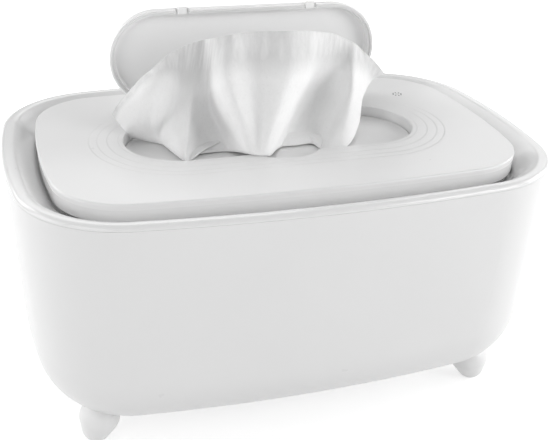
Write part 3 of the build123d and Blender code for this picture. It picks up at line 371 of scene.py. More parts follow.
class Nodes:
    """A small helper that adds and links shader nodes in one material."""

    def __init__(self, name: str) -> None:
        """Starts a new material.

        Args:
            name: The material's name.
        """
        self.material = bpy.data.materials.new(name)
        self.material.use_nodes = True
        self.tree = self.material.node_tree
        self.tree.nodes.clear()

    @classmethod
    def of(cls, material: bpy.types.Material) -> "Nodes":
        """Wraps a material that already has its nodes.

        Args:
            material: The material to add to.

        Returns:
            A helper on that material.
        """
        helper = cls.__new__(cls)
        helper.material = material
        helper.tree = material.node_tree
        return helper

    def add(self, kind: str) -> bpy.types.Node:
        """Adds one node.

        Args:
            kind: The node's type.

        Returns:
            The node.
        """
        return self.tree.nodes.new(kind)

    def link(self, source: Socket, target: Socket) -> None:
        """Links two sockets.

        Args:
            source: The output.
            target: The input.
        """
        self.tree.links.new(source, target)

    def principled(self, roughness: float, specular: float) -> bpy.types.Node:
        """Adds the main shader and its output.

        Args:
            roughness: The plain roughness.
            specular: The specular level.

        Returns:
            The shader node.
        """
        shader = self.add("ShaderNodeBsdfPrincipled")
        shader.name = "finish"
        shader.inputs["Roughness"].default_value = roughness
        shader.inputs["Specular IOR Level"].default_value = specular
        output = self.add("ShaderNodeOutputMaterial")
        self.link(shader.outputs[0], output.inputs["Surface"])
        return shader

    def noise(self, place: Socket, scale: float, detail: float, twist: float = 0.0) -> Socket:
        """Adds a noise texture.

        Args:
            place: The coordinates it reads.
            scale: Features a metre.
            detail: Levels of finer noise.
            twist: How far the noise distorts itself.

        Returns:
            The noise value.
        """
        node = self.add("ShaderNodeTexNoise")
        node.inputs["Scale"].default_value = scale
        node.inputs["Detail"].default_value = detail
        node.inputs["Distortion"].default_value = twist
        self.link(place, node.inputs["Vector"])
        return node.outputs["Fac"]

    def cells(self, place: Socket, scale: float, scatter: float = 1.0) -> bpy.types.Node:
        """Adds a cell texture.

        Args:
            place: The coordinates it reads.
            scale: Cells a metre.
            scatter: How irregular the cells are, 0 to 1.

        Returns:
            The texture node.
        """
        node = self.add("ShaderNodeTexVoronoi")
        node.inputs["Scale"].default_value = scale
        node.inputs["Randomness"].default_value = scatter
        self.link(place, node.inputs["Vector"])
        return node

    def stretch(self, place: Socket, factors: Point) -> Socket:
        """Stretches coordinates, so that a pattern runs along one direction.

        Args:
            place: The coordinates.
            factors: The factor of each axis.

        Returns:
            The stretched coordinates.
        """
        node = self.add("ShaderNodeMapping")
        node.inputs["Scale"].default_value = factors
        self.link(place, node.inputs["Vector"])
        return node.outputs[0]

    def smooth_step(
        self, value: Socket, start: float, end: float, low: float = 0.0, high: float = 1.0
    ) -> Socket:
        """Eases from one number to another while a value goes from start to end.

        Args:
            value: The value.
            start: Where the step begins.
            end: Where the step ends.
            low: The result before it.
            high: The result after it.

        Returns:
            The eased value.
        """
        node = self.add("ShaderNodeMapRange")
        node.interpolation_type = "SMOOTHSTEP"
        self.link(value, node.inputs["Value"])
        node.inputs["From Min"].default_value = start
        node.inputs["From Max"].default_value = end
        node.inputs["To Min"].default_value = low
        node.inputs["To Max"].default_value = high
        return node.outputs[0]

    def math(self, operation: str, first: object, second: object = None) -> Socket:
        """Adds a math node.

        Args:
            operation: What it works out.
            first: A socket or number.
            second: A socket, a number or nothing.

        Returns:
            The result.
        """
        node = self.add("ShaderNodeMath")
        node.operation = operation
        for place, value in enumerate((first, second)):
            if isinstance(value, (int, float)):
                node.inputs[place].default_value = value
            elif value is not None:
                self.link(value, node.inputs[place])
        return node.outputs[0]

    def square(self, value: Socket) -> Socket:
        """Multiplies a value by itself.

        Args:
            value: The value.

        Returns:
            Its square.
        """
        return self.math("MULTIPLY", value, value)

    def mix(self, factor: Socket, low: Colour, high: object) -> Socket:
        """Mixes two colours by a factor.

        Args:
            factor: The mixing value.
            low: The plain colour at 0.
            high: The colour at 1, plain or a socket.

        Returns:
            The mixed colour.
        """
        node = self.add("ShaderNodeMix")
        node.data_type = "RGBA"
        self.link(factor, node.inputs["Factor"])
        node.inputs[6].default_value = (*low, 1.0)
        if isinstance(high, Socket):
            self.link(high, node.inputs[7])
        else:
            node.inputs[7].default_value = (*high, 1.0)
        return node.outputs[2]

    def spread(self, value: Socket, low: float, high: float) -> Socket:
        """Spreads a 0 to 1 value between two numbers.

        Args:
            value: The value.
            low: The result at 0.
            high: The result at 1.

        Returns:
            The spread value.
        """
        node = self.add("ShaderNodeMapRange")
        self.link(value, node.inputs["Value"])
        node.inputs["To Min"].default_value = low
        node.inputs["To Max"].default_value = high
        return node.outputs[0]

    def bump(self, height: Socket, depth: float, before: Socket = None) -> Socket:
        """Adds a bump node.

        Args:
            height: The height map, 0 to 1.
            depth: The depth in metres of a height of 1.
            before: An earlier normal to add to.

        Returns:
            The bumped normal.
        """
        node = self.add("ShaderNodeBump")
        node.inputs["Strength"].default_value = 1.0
        node.inputs["Distance"].default_value = depth
        self.link(height, node.inputs["Height"])
        if before is not None:
            self.link(before, node.inputs["Normal"])
        return node.outputs[0]


@dataclass
class Palette:
    """Every finish, built once and shared by the pieces."""

    made: Dict[str, bpy.types.Material] = field(default_factory=dict)

    def get(self, name: str) -> bpy.types.Material:
        """Finds a finish, building it on first use.

        Args:
            name: One of the finishes' names.

        Returns:
            Its material.
        """
        if name not in self.made:
            self.made[name] = self.recipes()[name].build()
        return self.made[name]

    @staticmethod
    def recipes() -> Dict[str, object]:
        """Lists every finish.

        Returns:
            The finishes, by the names that the pieces use.
        """
        return {
            "shell": Moulding("shell_satin", roughness=0.30, specular=0.25),
            "rim": Moulding("rim_satin", roughness=0.22, coat=0.25),
            "cover": RidgedMoulding("cover_satin", roughness=0.30, coat=0.08),
            # Painted light: the lid's white is set lighter than the other white mouldings, to brighten
            # its face as if it were better lit.
            "lid": Moulding("lid_satin_painted_light", (0.94, 0.94, 0.94), 0.34, 0.02),
            "feet": Moulding("feet_satin", roughness=0.34, grain_mm=0.5),
            "bin": Moulding("bin_matte", (0.74, 0.74, 0.74), 0.5, grain_depth_mm=0.012),
            "silicone": Moulding("silicone_soft", (0.78, 0.78, 0.78), 0.45, grain_mm=0.4),
            "film": Moulding("film_amber", (0.42, 0.22, 0.06), 0.3),
            "black": Moulding("black_moulding", (0.03, 0.03, 0.03), 0.4),
            "guide": Moulding("light_guide", (0.82, 0.82, 0.82), 0.15),
            "icon": Moulding("icon_print", (0.10, 0.10, 0.11), 0.5),
            "wipes": NonWoven("wipe_cloth"),
            "foam": Foam("insulation_foam"),
            "aluminium": Metal("spreader_sheet", (0.75, 0.75, 0.76), 0.3),
            "screws": Metal("zinc_plate", (0.6, 0.6, 0.6), 0.35),
            "pins": Metal("ground_steel", (0.62, 0.62, 0.62), 0.22),
            "board": CircuitBoard("control_circuit"),
        }


FEET = ("foot_front_left", "foot_front_right", "foot_rear_left", "foot_rear_right")
NODE_FINISH: Dict[str, str] = {
    "outer_tub": "shell",
    "rim_frame": "rim",
    "inner_bin": "bin",
    "heat_spreader": "aluminium",
    "heating_film": "film",
    "insulation_pad": "foam",
    "thermal_cutout": "black",
    "heater_cover": "bin",
    "heater_screws": "screws",
    "control_board": "board",
    "board_screws": "screws",
    "dc_inlet": "black",
    **dict.fromkeys(FEET, "feet"),
    "rear_hinge_pin": "pins",
    "rear_hinge_bush": "bin",
    "hinge_lead": "black",
    "wipe_stack": "wipes",
    "top_cover": "cover",
    "lower_housing": "rim",
    "dispensing_tray": "cover",
    "slot_gasket": "silicone",
    "cover_screws": "screws",
    "plug_seal": "silicone",
    "touch_board": "board",
    "light_guide": "guide",
    "flip_pin": "pins",
    "wipe": "wipes",
    "flip_lid": "lid",
    "lid_seal": "silicone",
}


# ------------------------------------------------------------------ mesh helpers
def finish_piece(
    name: str,
    shape: bmesh.types.BMesh,
    material: bpy.types.Material,
    body: Body,
    sharp_degrees: float = 32.0,
    weighted: bool = True,
) -> bpy.types.Object:
    """Turns a bmesh into a finished object that rides on a body.

    Args:
        name: The piece's name.
        shape: The mesh, in metres.
        material: The finish.
        body: The body it rides on.
        sharp_degrees: Edges that turn more than this stay sharp.
        weighted: Whether large faces rule the shading.

    Returns:
        The object.
    """
    limit = math.radians(sharp_degrees)
    for face in shape.faces:
        face.smooth = True
    for edge in shape.edges:
        edge.smooth = edge.calc_face_angle(math.pi) < limit
    mesh = bpy.data.meshes.new(name)
    shape.to_mesh(mesh)
    shape.free()
    piece = bpy.data.objects.new(name, mesh)
    bpy.context.scene.collection.objects.link(piece)
    piece.data.materials.append(material)
    if weighted:
        shading = piece.modifiers.new("even_shading", "WEIGHTED_NORMAL")
        shading.keep_sharp = True
        shading.weight = NORMAL_WEIGHT
    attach(piece, body.value)
    return piece


@dataclass
class SmoothMoulding:
    """A rigid node shown with smooth shading: its own mesh, welded, with true edges kept."""

    node: str
    body: Body
    slot: str
    weld_mm: float = 0.002
    sharp_degrees: float = 28.0
    weighted: bool = True
    bands_mm: Tuple[float, ...] = ()
    round_mm: Pair = (0.0, 0.0)

    def build(self, palette: Palette) -> bpy.types.Object:
        """Makes the smooth copy and lets it stand for the node.

        Args:
            palette: The finishes.

        Returns:
            The new piece.
        """
        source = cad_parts[self.node]
        shape = bmesh.new()
        shape.from_mesh(source.data)
        bmesh.ops.remove_doubles(shape, verts=shape.verts, dist=self.weld_mm * MM)
        bmesh.ops.dissolve_degenerate(shape, edges=shape.edges, dist=self.weld_mm * MM)
        for height in self.bands_mm:
            bmesh.ops.bisect_plane(
                shape,
                geom=[*shape.verts, *shape.edges, *shape.faces],
                plane_co=(0.0, 0.0, height * MM),
                plane_no=(0.0, 0.0, 1.0),
                dist=CUT_SNAP,
            )
        if self.round_mm[1] > 0.0:
            self.round_over(shape)
        material = palette.get(NODE_FINISH[self.node])
        piece = finish_piece(
            self.node + "_smooth",
            shape,
            material,
            self.body,
            self.sharp_degrees,
            self.weighted,
        )
        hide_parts(self.node)
        return piece

    def round_over(self, shape: bmesh.types.BMesh) -> None:
        """Refines the outer rounded edge and sets it on its true quarter circle.

        Args:
            shape: The mesh, in metres.
        """
        base, radius = (value * MM for value in self.round_mm)
        ring = [
            (edge.verts[0].co.xy.copy(), edge.verts[1].co.xy.copy())
            for edge in shape.edges
            if all(abs(vert.co.z - base) < NEAR for vert in edge.verts)
        ]
        for span in ROUND_SPANS:
            band = [
                edge
                for edge in shape.edges
                if edge.calc_length() > span
                and all(base - BELOW_ROUND < v.co.z < base + radius + NEAR for v in edge.verts)
                and any(v.co.z < base + radius - NEAR for v in edge.verts)
            ]
            bmesh.ops.subdivide_edges(shape, edges=band, cuts=1)
            bmesh.ops.triangulate(shape, faces=[f for f in shape.faces if len(f.verts) > 3])
        for vert in shape.verts:
            rise = vert.co.z - base
            if not NEAR < rise < radius - NEAR:
                continue
            feet = [closest_on(vert.co.xy, start, end) for start, end in ring]
            foot, inward = min(feet, key=lambda found: (found[0] - vert.co.xy).length)
            if (foot - vert.co.xy).length < radius:
                place = foot + inward * (radius - math.sqrt(radius**2 - rise**2))
                vert.co.x, vert.co.y = place


def closest_on(point: Vector, start: Vector, end: Vector) -> Tuple[Vector, Vector]:
    """Finds the nearest point of a segment, and the side of it that faces the middle.

    Args:
        point: Where to measure from, seen from above.
        start: The segment's start.
        end: The segment's end.

    Returns:
        The nearest point and the unit normal towards the origin.
    """
    run = end - start
    share = max(0.0, min(1.0, (point - start).dot(run) / max(run.length_squared, SHORTEST_SQUARED)))
    foot = start + run * share
    normal = Vector((-run.y, run.x)).normalized()
    return foot, normal if normal.dot(foot) < 0.0 else -normal


# ------------------------------------------------------------------ the cloth
def catmull(a: Vector, b: Vector, c: Vector, d: Vector, t: float) -> Vector:
    """A point on the smooth curve from b to c.

    Args:
        a: The point before.
        b: The start.
        c: The end.
        d: The point after.
        t: The share of the way, 0 to 1.

    Returns:
        The point.
    """
    return 0.5 * (
        2 * b + (c - a) * t + (2 * a - 5 * b + 4 * c - d) * t * t + (3 * b - 3 * c + d - a) * t * t * t
    )


def along(points: Sequence[Vector], share: float) -> Vector:
    """A point on the smooth curve through some points.

    Args:
        points: The points, in order.
        share: The share of the way, 0 to 1.

    Returns:
        The point.
    """
    spans = len(points) - 1
    place = min(share * spans, spans - END_SHORT)
    index = int(place)
    before = points[max(index - 1, 0)]
    after = points[min(index + 2, spans)]
    return catmull(before, points[index], points[index + 1], after, place - index)


def cloth_grid(
    columns: int, rows: int, width: float, length: float
) -> Tuple[bmesh.types.BMesh, Dict[int, Pair]]:
    """Makes a flat grid whose UV map is the flat cloth, in metres.

    Args:
        columns: The grid's columns.
        rows: The grid's rows.
        width: The flat cloth's width, in metres.
        length: The flat cloth's length, in metres.

    Returns:
        The grid, and each vertex's shares of the width and of the length.
    """
    shape = bmesh.new()
    bmesh.ops.create_grid(shape, x_segments=columns, y_segments=rows, size=0.5, calc_uvs=False)
    shares = {v.index: (v.co.x + 0.5, v.co.y + 0.5) for v in shape.verts}
    flat = shape.loops.layers.uv.new(CLOTH_MAP)
    for face in shape.faces:
        for loop in face.loops:
            u, w = shares[loop.vert.index]
            loop[flat].uv = (u * width, w * length)
    return shape, shares


def thicken(piece: bpy.types.Object, thickness: float) -> None:
    """Gives a cloth its thickness, half on each side.

    Args:
        piece: The cloth.
        thickness: The thickness, in metres.
    """
    body = piece.modifiers.new("cloth_thickness", "SOLIDIFY")
    body.thickness = thickness
    body.offset = 0.0


def swell(u: float, w: float, pattern: Point) -> float:
    """Smooth waves over a cloth.

    Args:
        u: The share of the width.
        w: The share of the length.
        pattern: Waves across, waves along and the slice of the noise.

    Returns:
        The height of the wave, about -1 to 1.
    """
    return noise.noise(Vector((u * pattern[0], w * pattern[1], pattern[2])))


@dataclass
class PulledWipe:
    """The wipe that stands half out of the slot, fanned in soft pleats.

    Each rib is its place in the slot, seen from above, and then the points from the recess to
    the cloth's top edge, in millimetres.
    """

    ribs: Tuple[Tuple[Tuple[float, ...], ...], ...] = (
        ((-28.5, 0.4), (-45.0, 7.1, 116.9), (-61.4, 13.7, 115.4), (-64.8, 9.0, 120.4),
         (-67.2, 10.0, 123.1), (-69.2, 10.5, 126.2), (-70.8, 11.0, 128.7)),
        ((-28.2, 0.4), (-43.8, 6.2, 116.9), (-59.4, 12.0, 115.4), (-62.9, 6.0, 123.8),
         (-65.3, 6.5, 129.0), (-67.2, 8.0, 131.8), (-68.1, 10.0, 133.5)),
        ((-27.8, -2.8), (-42.6, 3.8, 116.9), (-57.4, 10.3, 115.4), (-60.6, 3.5, 125.9),
         (-61.8, 3.0, 133.6), (-62.9, 6.0, 136.8), (-63.3, 11.5, 137.8)),
        ((-27.4, -2.8), (-41.2, 2.9, 116.9), (-55.0, 8.5, 115.4), (-57.7, 2.0, 128.1),
         (-58.0, 1.0, 138.6), (-57.4, 6.0, 142.9), (-57.0, 13.0, 143.8)),
        ((-27.0, -2.8), (-39.8, 2.0, 116.9), (-52.6, 6.7, 115.4), (-55.1, 1.5, 128.1),
         (-53.8, 0.0, 139.6), (-52.1, 6.0, 145.7), (-51.7, 14.5, 147.1)),
        ((-26.5, 0.4), (-38.6, 2.4, 116.9), (-50.8, 4.5, 115.4), (-52.2, 3.0, 127.3),
         (-49.4, 2.5, 137.9), (-46.3, 8.0, 146.0), (-45.5, 16.0, 151.8)),
        ((-26.0, 0.4), (-37.7, 1.4, 116.9), (-49.4, 2.3, 115.4), (-49.8, 4.0, 123.9),
         (-46.1, 5.5, 134.4), (-42.5, 9.5, 143.9), (-40.7, 17.0, 153.9)),
        ((-25.4, 0.4), (-36.9, -0.6, 116.9), (-48.4, -1.5, 115.4), (-48.8, 0.0, 122.9),
         (-44.1, 4.5, 131.8), (-40.2, 9.5, 141.9), (-36.4, 18.0, 155.5)),
        ((-24.8, -2.8), (-36.0, -4.7, 116.9), (-47.2, -6.6, 115.4), (-48.0, -7.0, 123.7),
         (-43.3, 2.0, 130.7), (-38.2, 8.5, 141.2), (-33.2, 18.0, 156.7)),
        ((-24.0, -2.8), (-34.9, -7.7, 116.9), (-45.8, -12.7, 115.4), (-46.0, -12.0, 124.5),
         (-41.1, 0.0, 131.2), (-36.0, 8.0, 141.2), (-30.4, 18.0, 157.4)),
        ((-23.0, -2.8), (-33.4, -10.3, 116.9), (-43.8, -17.7, 115.4), (-42.2, -13.0, 124.1),
         (-38.6, -1.0, 131.9), (-33.9, 7.5, 141.2), (-28.1, 18.0, 158.0)),
        ((-21.5, 0.4), (-31.3, -6.7, 116.9), (-41.1, -13.8, 115.4), (-39.3, -6.0, 121.1),
         (-35.2, 4.0, 130.8), (-31.3, 8.5, 141.2), (-26.5, 17.0, 158.4)),
        ((-19.0, 0.4), (-27.0, -5.1, 116.9), (-35.0, -10.5, 115.4), (-31.8, 1.0, 120.1),
         (-30.5, 8.0, 129.9), (-28.9, 9.0, 141.3), (-25.4, 14.0, 159.5)),
        ((-12.0, 0.4), (-17.2, -5.3, 116.9), (-22.4, -11.1, 115.4), (-22.7, 2.0, 120.9),
         (-25.7, 7.0, 130.4), (-26.9, 8.0, 141.5), (-24.2, 10.0, 160.9)),
        ((-8.5, 0.4), (-13.8, -12.3, 118.0), (-19.1, -25.0, 119.8), (-21.9, -17.0, 127.6),
         (-25.9, -8.0, 136.1), (-27.3, -1.0, 145.3), (-22.0, 8.0, 161.8)),
        ((-7.0, -2.8), (-12.1, -15.2, 118.2), (-17.1, -27.5, 120.2), (-19.3, -22.0, 130.1),
         (-22.0, -15.0, 140.5), (-23.1, -7.0, 150.6), (-18.0, 6.0, 163.0)),
        ((-5.0, -2.8), (-10.1, -15.7, 118.2), (-15.2, -28.5, 120.1), (-13.6, -21.0, 129.3),
         (-12.6, -12.0, 138.8), (-11.3, -3.5, 148.7), (-9.3, 9.0, 162.9)),
        ((-3.0, -2.8), (-8.0, -15.9, 118.1), (-13.1, -29.0, 119.9), (-10.7, -23.0, 129.8),
         (-7.3, -14.0, 139.1), (-5.3, -5.0, 148.8), (-1.3, 8.0, 163.2)),
        ((-1.0, -2.8), (-5.8, -15.7, 117.9), (-10.7, -28.5, 119.5), (-6.3, -23.5, 129.6),
         (-0.2, -16.0, 139.3), (4.4, -9.0, 149.4), (9.3, 6.0, 163.4)),
        ((1.0, 0.4), (-3.5, -12.8, 117.4), (-8.1, -26.0, 118.5), (-0.3, -18.0, 127.0),
         (8.7, -9.0, 137.1), (15.8, -2.0, 147.4), (19.8, 10.0, 161.8)),
        ((4.0, 0.4), (2.4, -5.6, 116.9), (0.8, -11.6, 115.4), (9.6, 1.0, 119.5),
         (17.4, 7.0, 130.5), (23.9, 9.0, 143.5), (28.0, 15.0, 159.5)),
        ((10.0, 0.4), (9.3, -5.3, 116.9), (8.6, -10.9, 115.4), (17.4, 5.0, 118.4),
         (26.5, 14.0, 129.5), (31.3, 13.0, 143.7), (35.1, 19.0, 157.4)),
        ((15.0, 0.4), (16.0, -5.0, 116.9), (17.0, -10.4, 115.4), (24.6, 3.0, 119.0),
         (32.9, 11.0, 130.0), (36.2, 13.0, 144.4), (40.5, 22.0, 154.6)),
        ((18.0, 0.4), (18.5, -8.9, 116.9), (19.0, -18.2, 115.4), (26.7, -7.0, 121.6),
         (34.8, 2.0, 132.9), (39.1, 10.0, 144.1), (44.1, 23.0, 152.7)),
        ((20.5, -2.8), (22.2, -11.0, 116.9), (23.9, -19.3, 115.4), (30.9, -11.0, 122.3),
         (37.1, -3.0, 134.4), (41.0, 6.0, 144.3), (47.8, 23.0, 151.0)),
        ((23.0, -2.8), (25.9, -11.0, 116.9), (28.7, -19.2, 115.4), (36.2, -9.0, 121.5),
         (41.5, 0.0, 132.1), (45.9, 9.0, 142.1), (52.0, 25.0, 147.8)),
        ((25.0, 0.4), (29.1, -6.8, 116.9), (33.2, -14.1, 115.4), (41.8, -3.0, 119.3),
         (45.7, 4.0, 129.0), (50.1, 11.0, 138.7), (54.1, 22.0, 145.5)),
        ((26.5, 0.4), (31.0, -4.3, 116.9), (35.6, -9.1, 116.7), (44.8, 4.0, 118.5),
         (46.8, 7.0, 126.8), (52.3, 12.0, 135.8), (58.2, 21.0, 142.1)),
        ((28.0, 0.4), (33.7, -0.8, 116.9), (39.4, -2.1, 116.7), (46.3, 9.0, 118.6),
         (48.1, 9.0, 128.1), (53.9, 13.0, 134.4), (62.2, 17.0, 136.8)),
    )
    throat_z_mm: float = 103.0
    slot_z_mm: float = 115.8
    columns: int = 220
    rows: int = 100
    thickness_mm: float = 0.35
    wrinkle_mm: float = 0.5
    wave: Point = (9.0, 5.0, 3.7)
    ripple: Point = (26.0, 9.0, 8.1)
    ripple_share: float = 0.35
    wrinkle_onset: float = 1.4
    cut_mm: Pair = (160.0, 84.0)

    def net(self) -> List[List[Vector]]:
        """Works out every rib from the throat to the top edge.

        Returns:
            The ribs' points, in millimetres.
        """
        heights = (self.throat_z_mm, self.slot_z_mm)
        return [
            [Vector((*foot, height)) for height in heights] + [Vector(p) for p in rest]
            for foot, *rest in self.ribs
        ]

    def build(self, palette: Palette) -> bpy.types.Object:
        """Args:
            palette: The finishes.

        Returns:
            The cloth.
        """
        wide, tall = (value * MM for value in self.cut_mm)
        shape, shares = cloth_grid(self.columns, self.rows, wide, tall)
        nets = self.net()
        for vert in shape.verts:
            u, w = shares[vert.index]
            place = along([along(column, w) for column in nets], u)
            wrinkle = swell(u, w, self.wave) + swell(u, w, self.ripple) * self.ripple_share
            place.y += wrinkle * self.wrinkle_mm * min(1.0, w * self.wrinkle_onset)
            vert.co = place * MM
        piece = finish_piece(
            "pulled_wipe", shape, palette.get("wipes"), Body.TOP_UNIT, 180.0, False
        )
        thicken(piece, self.thickness_mm * MM)
        area = sum(face.area for face in piece.data.polygons)
        LOG.info("pulled wipe: one face measures %.1f square centimetres", area * 1e4)
        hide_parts("wipe")
        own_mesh(piece)
        return piece


@dataclass
class FoldedStack:
    """The folded wipes in the bin: one long strip laid to and fro in even layers."""

    layers: int = 20
    turn_steps: int = 6
    run_steps: int = 10
    across: int = 48
    thickness_mm: float = 0.9
    edge_gap_mm: float = 1.2
    turn: float = 0.12
    sag_waves: Point = (5.0, 30.0, 40.0)
    sag_mm: float = 0.35
    skew_wave: Point = (0.9, 1.7, 4.2)
    skew_mm: float = 0.8

    def place(self, share: float, low: Vector, high: Vector) -> Tuple[float, float]:
        """The strip's middle line at a share of its length.

        Args:
            share: The place along the strip, in layers.
            low: The stack's lowest corner.
            high: The stack's highest corner.

        Returns:
            The depth and the height, in metres.
        """
        pitch = (high.z - low.z - self.thickness_mm * MM) / self.layers
        layer = min(int(share), self.layers - 1)
        step = share - layer
        front, back = low.y + pitch, high.y - pitch
        start, end = (front, back) if layer % 2 == 0 else (back, front)
        height = low.z + self.thickness_mm * MM / 2 + pitch * (layer + 0.5)
        if step < 1.0 - self.turn or layer == self.layers - 1:
            part = step / (1.0 - self.turn) if layer < self.layers - 1 else step
            return start + (end - start) * part, height
        angle = math.pi * (step - 1.0 + self.turn) / self.turn
        outward = math.copysign(pitch / 2, end - start)
        return (
            end + outward * math.sin(angle),
            height + pitch / 2 * (1.0 - math.cos(angle)),
        )

    def build(self, palette: Palette) -> bpy.types.Object:
        """Args:
            palette: The finishes.

        Returns:
            The stack.
        """
        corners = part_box("wipe_stack")
        edge = Vector((self.edge_gap_mm,) * 3) * MM
        low, high = Vector(corners[0]) + edge, Vector(corners[1]) - edge
        rows = self.layers * (self.turn_steps + self.run_steps)
        length = self.layers * (high.y - low.y)
        shape, shares = cloth_grid(self.across, rows, high.x - low.x, length)
        across, deep, up = self.sag_waves
        twist, lane, slice_z = self.skew_wave
        for vert in shape.verts:
            u, w = shares[vert.index]
            y, z = self.place(w * self.layers, low, high)
            sag = noise.noise(Vector((u * across, y * deep, z * up))) * self.sag_mm * MM
            skew = noise.noise(Vector((w * self.layers * twist, lane, slice_z))) * self.skew_mm * MM
            vert.co = (low.x + u * (high.x - low.x) + skew, y, z + sag)
        piece = finish_piece(
            "folded_stack", shape, palette.get("wipes"), Body.TUB, 180.0, False
        )
        thicken(piece, self.thickness_mm * MM)
        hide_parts("wipe_stack")
        return piece


@dataclass
class TouchIcon:
    """The touch point's mark: a ring of small dots round a pale spot."""

    centre_mm: Pair = (78.7, 34.3)
    ring_mm: float = 2.15
    dot_mm: float = 0.42
    dots: int = 8
    spot_mm: float = 1.1
    height_mm: float = 0.05
    segments: int = 20

    def disc(self, shape: bmesh.types.BMesh, x: float, y: float, z: float, radius: float) -> None:
        """Adds one thin disc.

        Args:
            shape: The mesh to add to.
            x: Its middle across, in metres.
            y: Its middle in depth, in metres.
            z: Its middle height, in metres.
            radius: Its radius, in metres.
        """
        bmesh.ops.create_cone(
            shape,
            cap_ends=True,
            segments=self.segments,
            radius1=radius,
            radius2=radius,
            depth=self.height_mm * MM,
            matrix=Matrix.Translation((x, y, z)),
        )

    def build(self, palette: Palette) -> List[bpy.types.Object]:
        """Makes the ring and the spot on the cover's top.

        Args:
            palette: The finishes.

        Returns:
            The ring and the spot.
        """
        x, y = (value * MM for value in self.centre_mm)
        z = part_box("top_cover")[1][2] + self.height_mm * MM / 2
        ring = bmesh.new()
        for place in range(self.dots):
            angle = math.tau * place / self.dots
            reach = self.ring_mm * MM
            self.disc(
                ring,
                x + reach * math.cos(angle),
                y + reach * math.sin(angle),
                z,
                self.dot_mm * MM,
            )
        spot = bmesh.new()
        self.disc(spot, x, y, z, self.spot_mm * MM)
        return [
            finish_piece("icon_ring", ring, palette.get("icon"), Body.TOP_UNIT),
            finish_piece("icon_spot", spot, palette.get("guide"), Body.TOP_UNIT),
        ]


# ------------------------------------------------------------------ studio
@dataclass(frozen=True)
class Lamp:
    """A soft square panel: where it stands and its side, in metres, and its power in watts."""

    name: str
    place: Point
    power: float
    size: float = 0.8


LAMPS: Tuple[Lamp, ...] = (
    Lamp("right", (1.3, 0.0, 0.45), 7.4),
    Lamp("right_front", (1.05, -1.0, 0.6), 9.3),
    Lamp("left_front", (-1.05, -1.0, 0.6), 4.8),
    Lamp("left", (-1.3, 0.0, 0.45), 4.9),
    Lamp("rear_left", (-1.0, 1.0, 0.8), 7.2),
    Lamp("rear_top", (0.0, 1.1, 1.1), 5.2, 1.0),
    Lamp("rear_right", (1.0, 1.0, 0.8), 2.3),
)


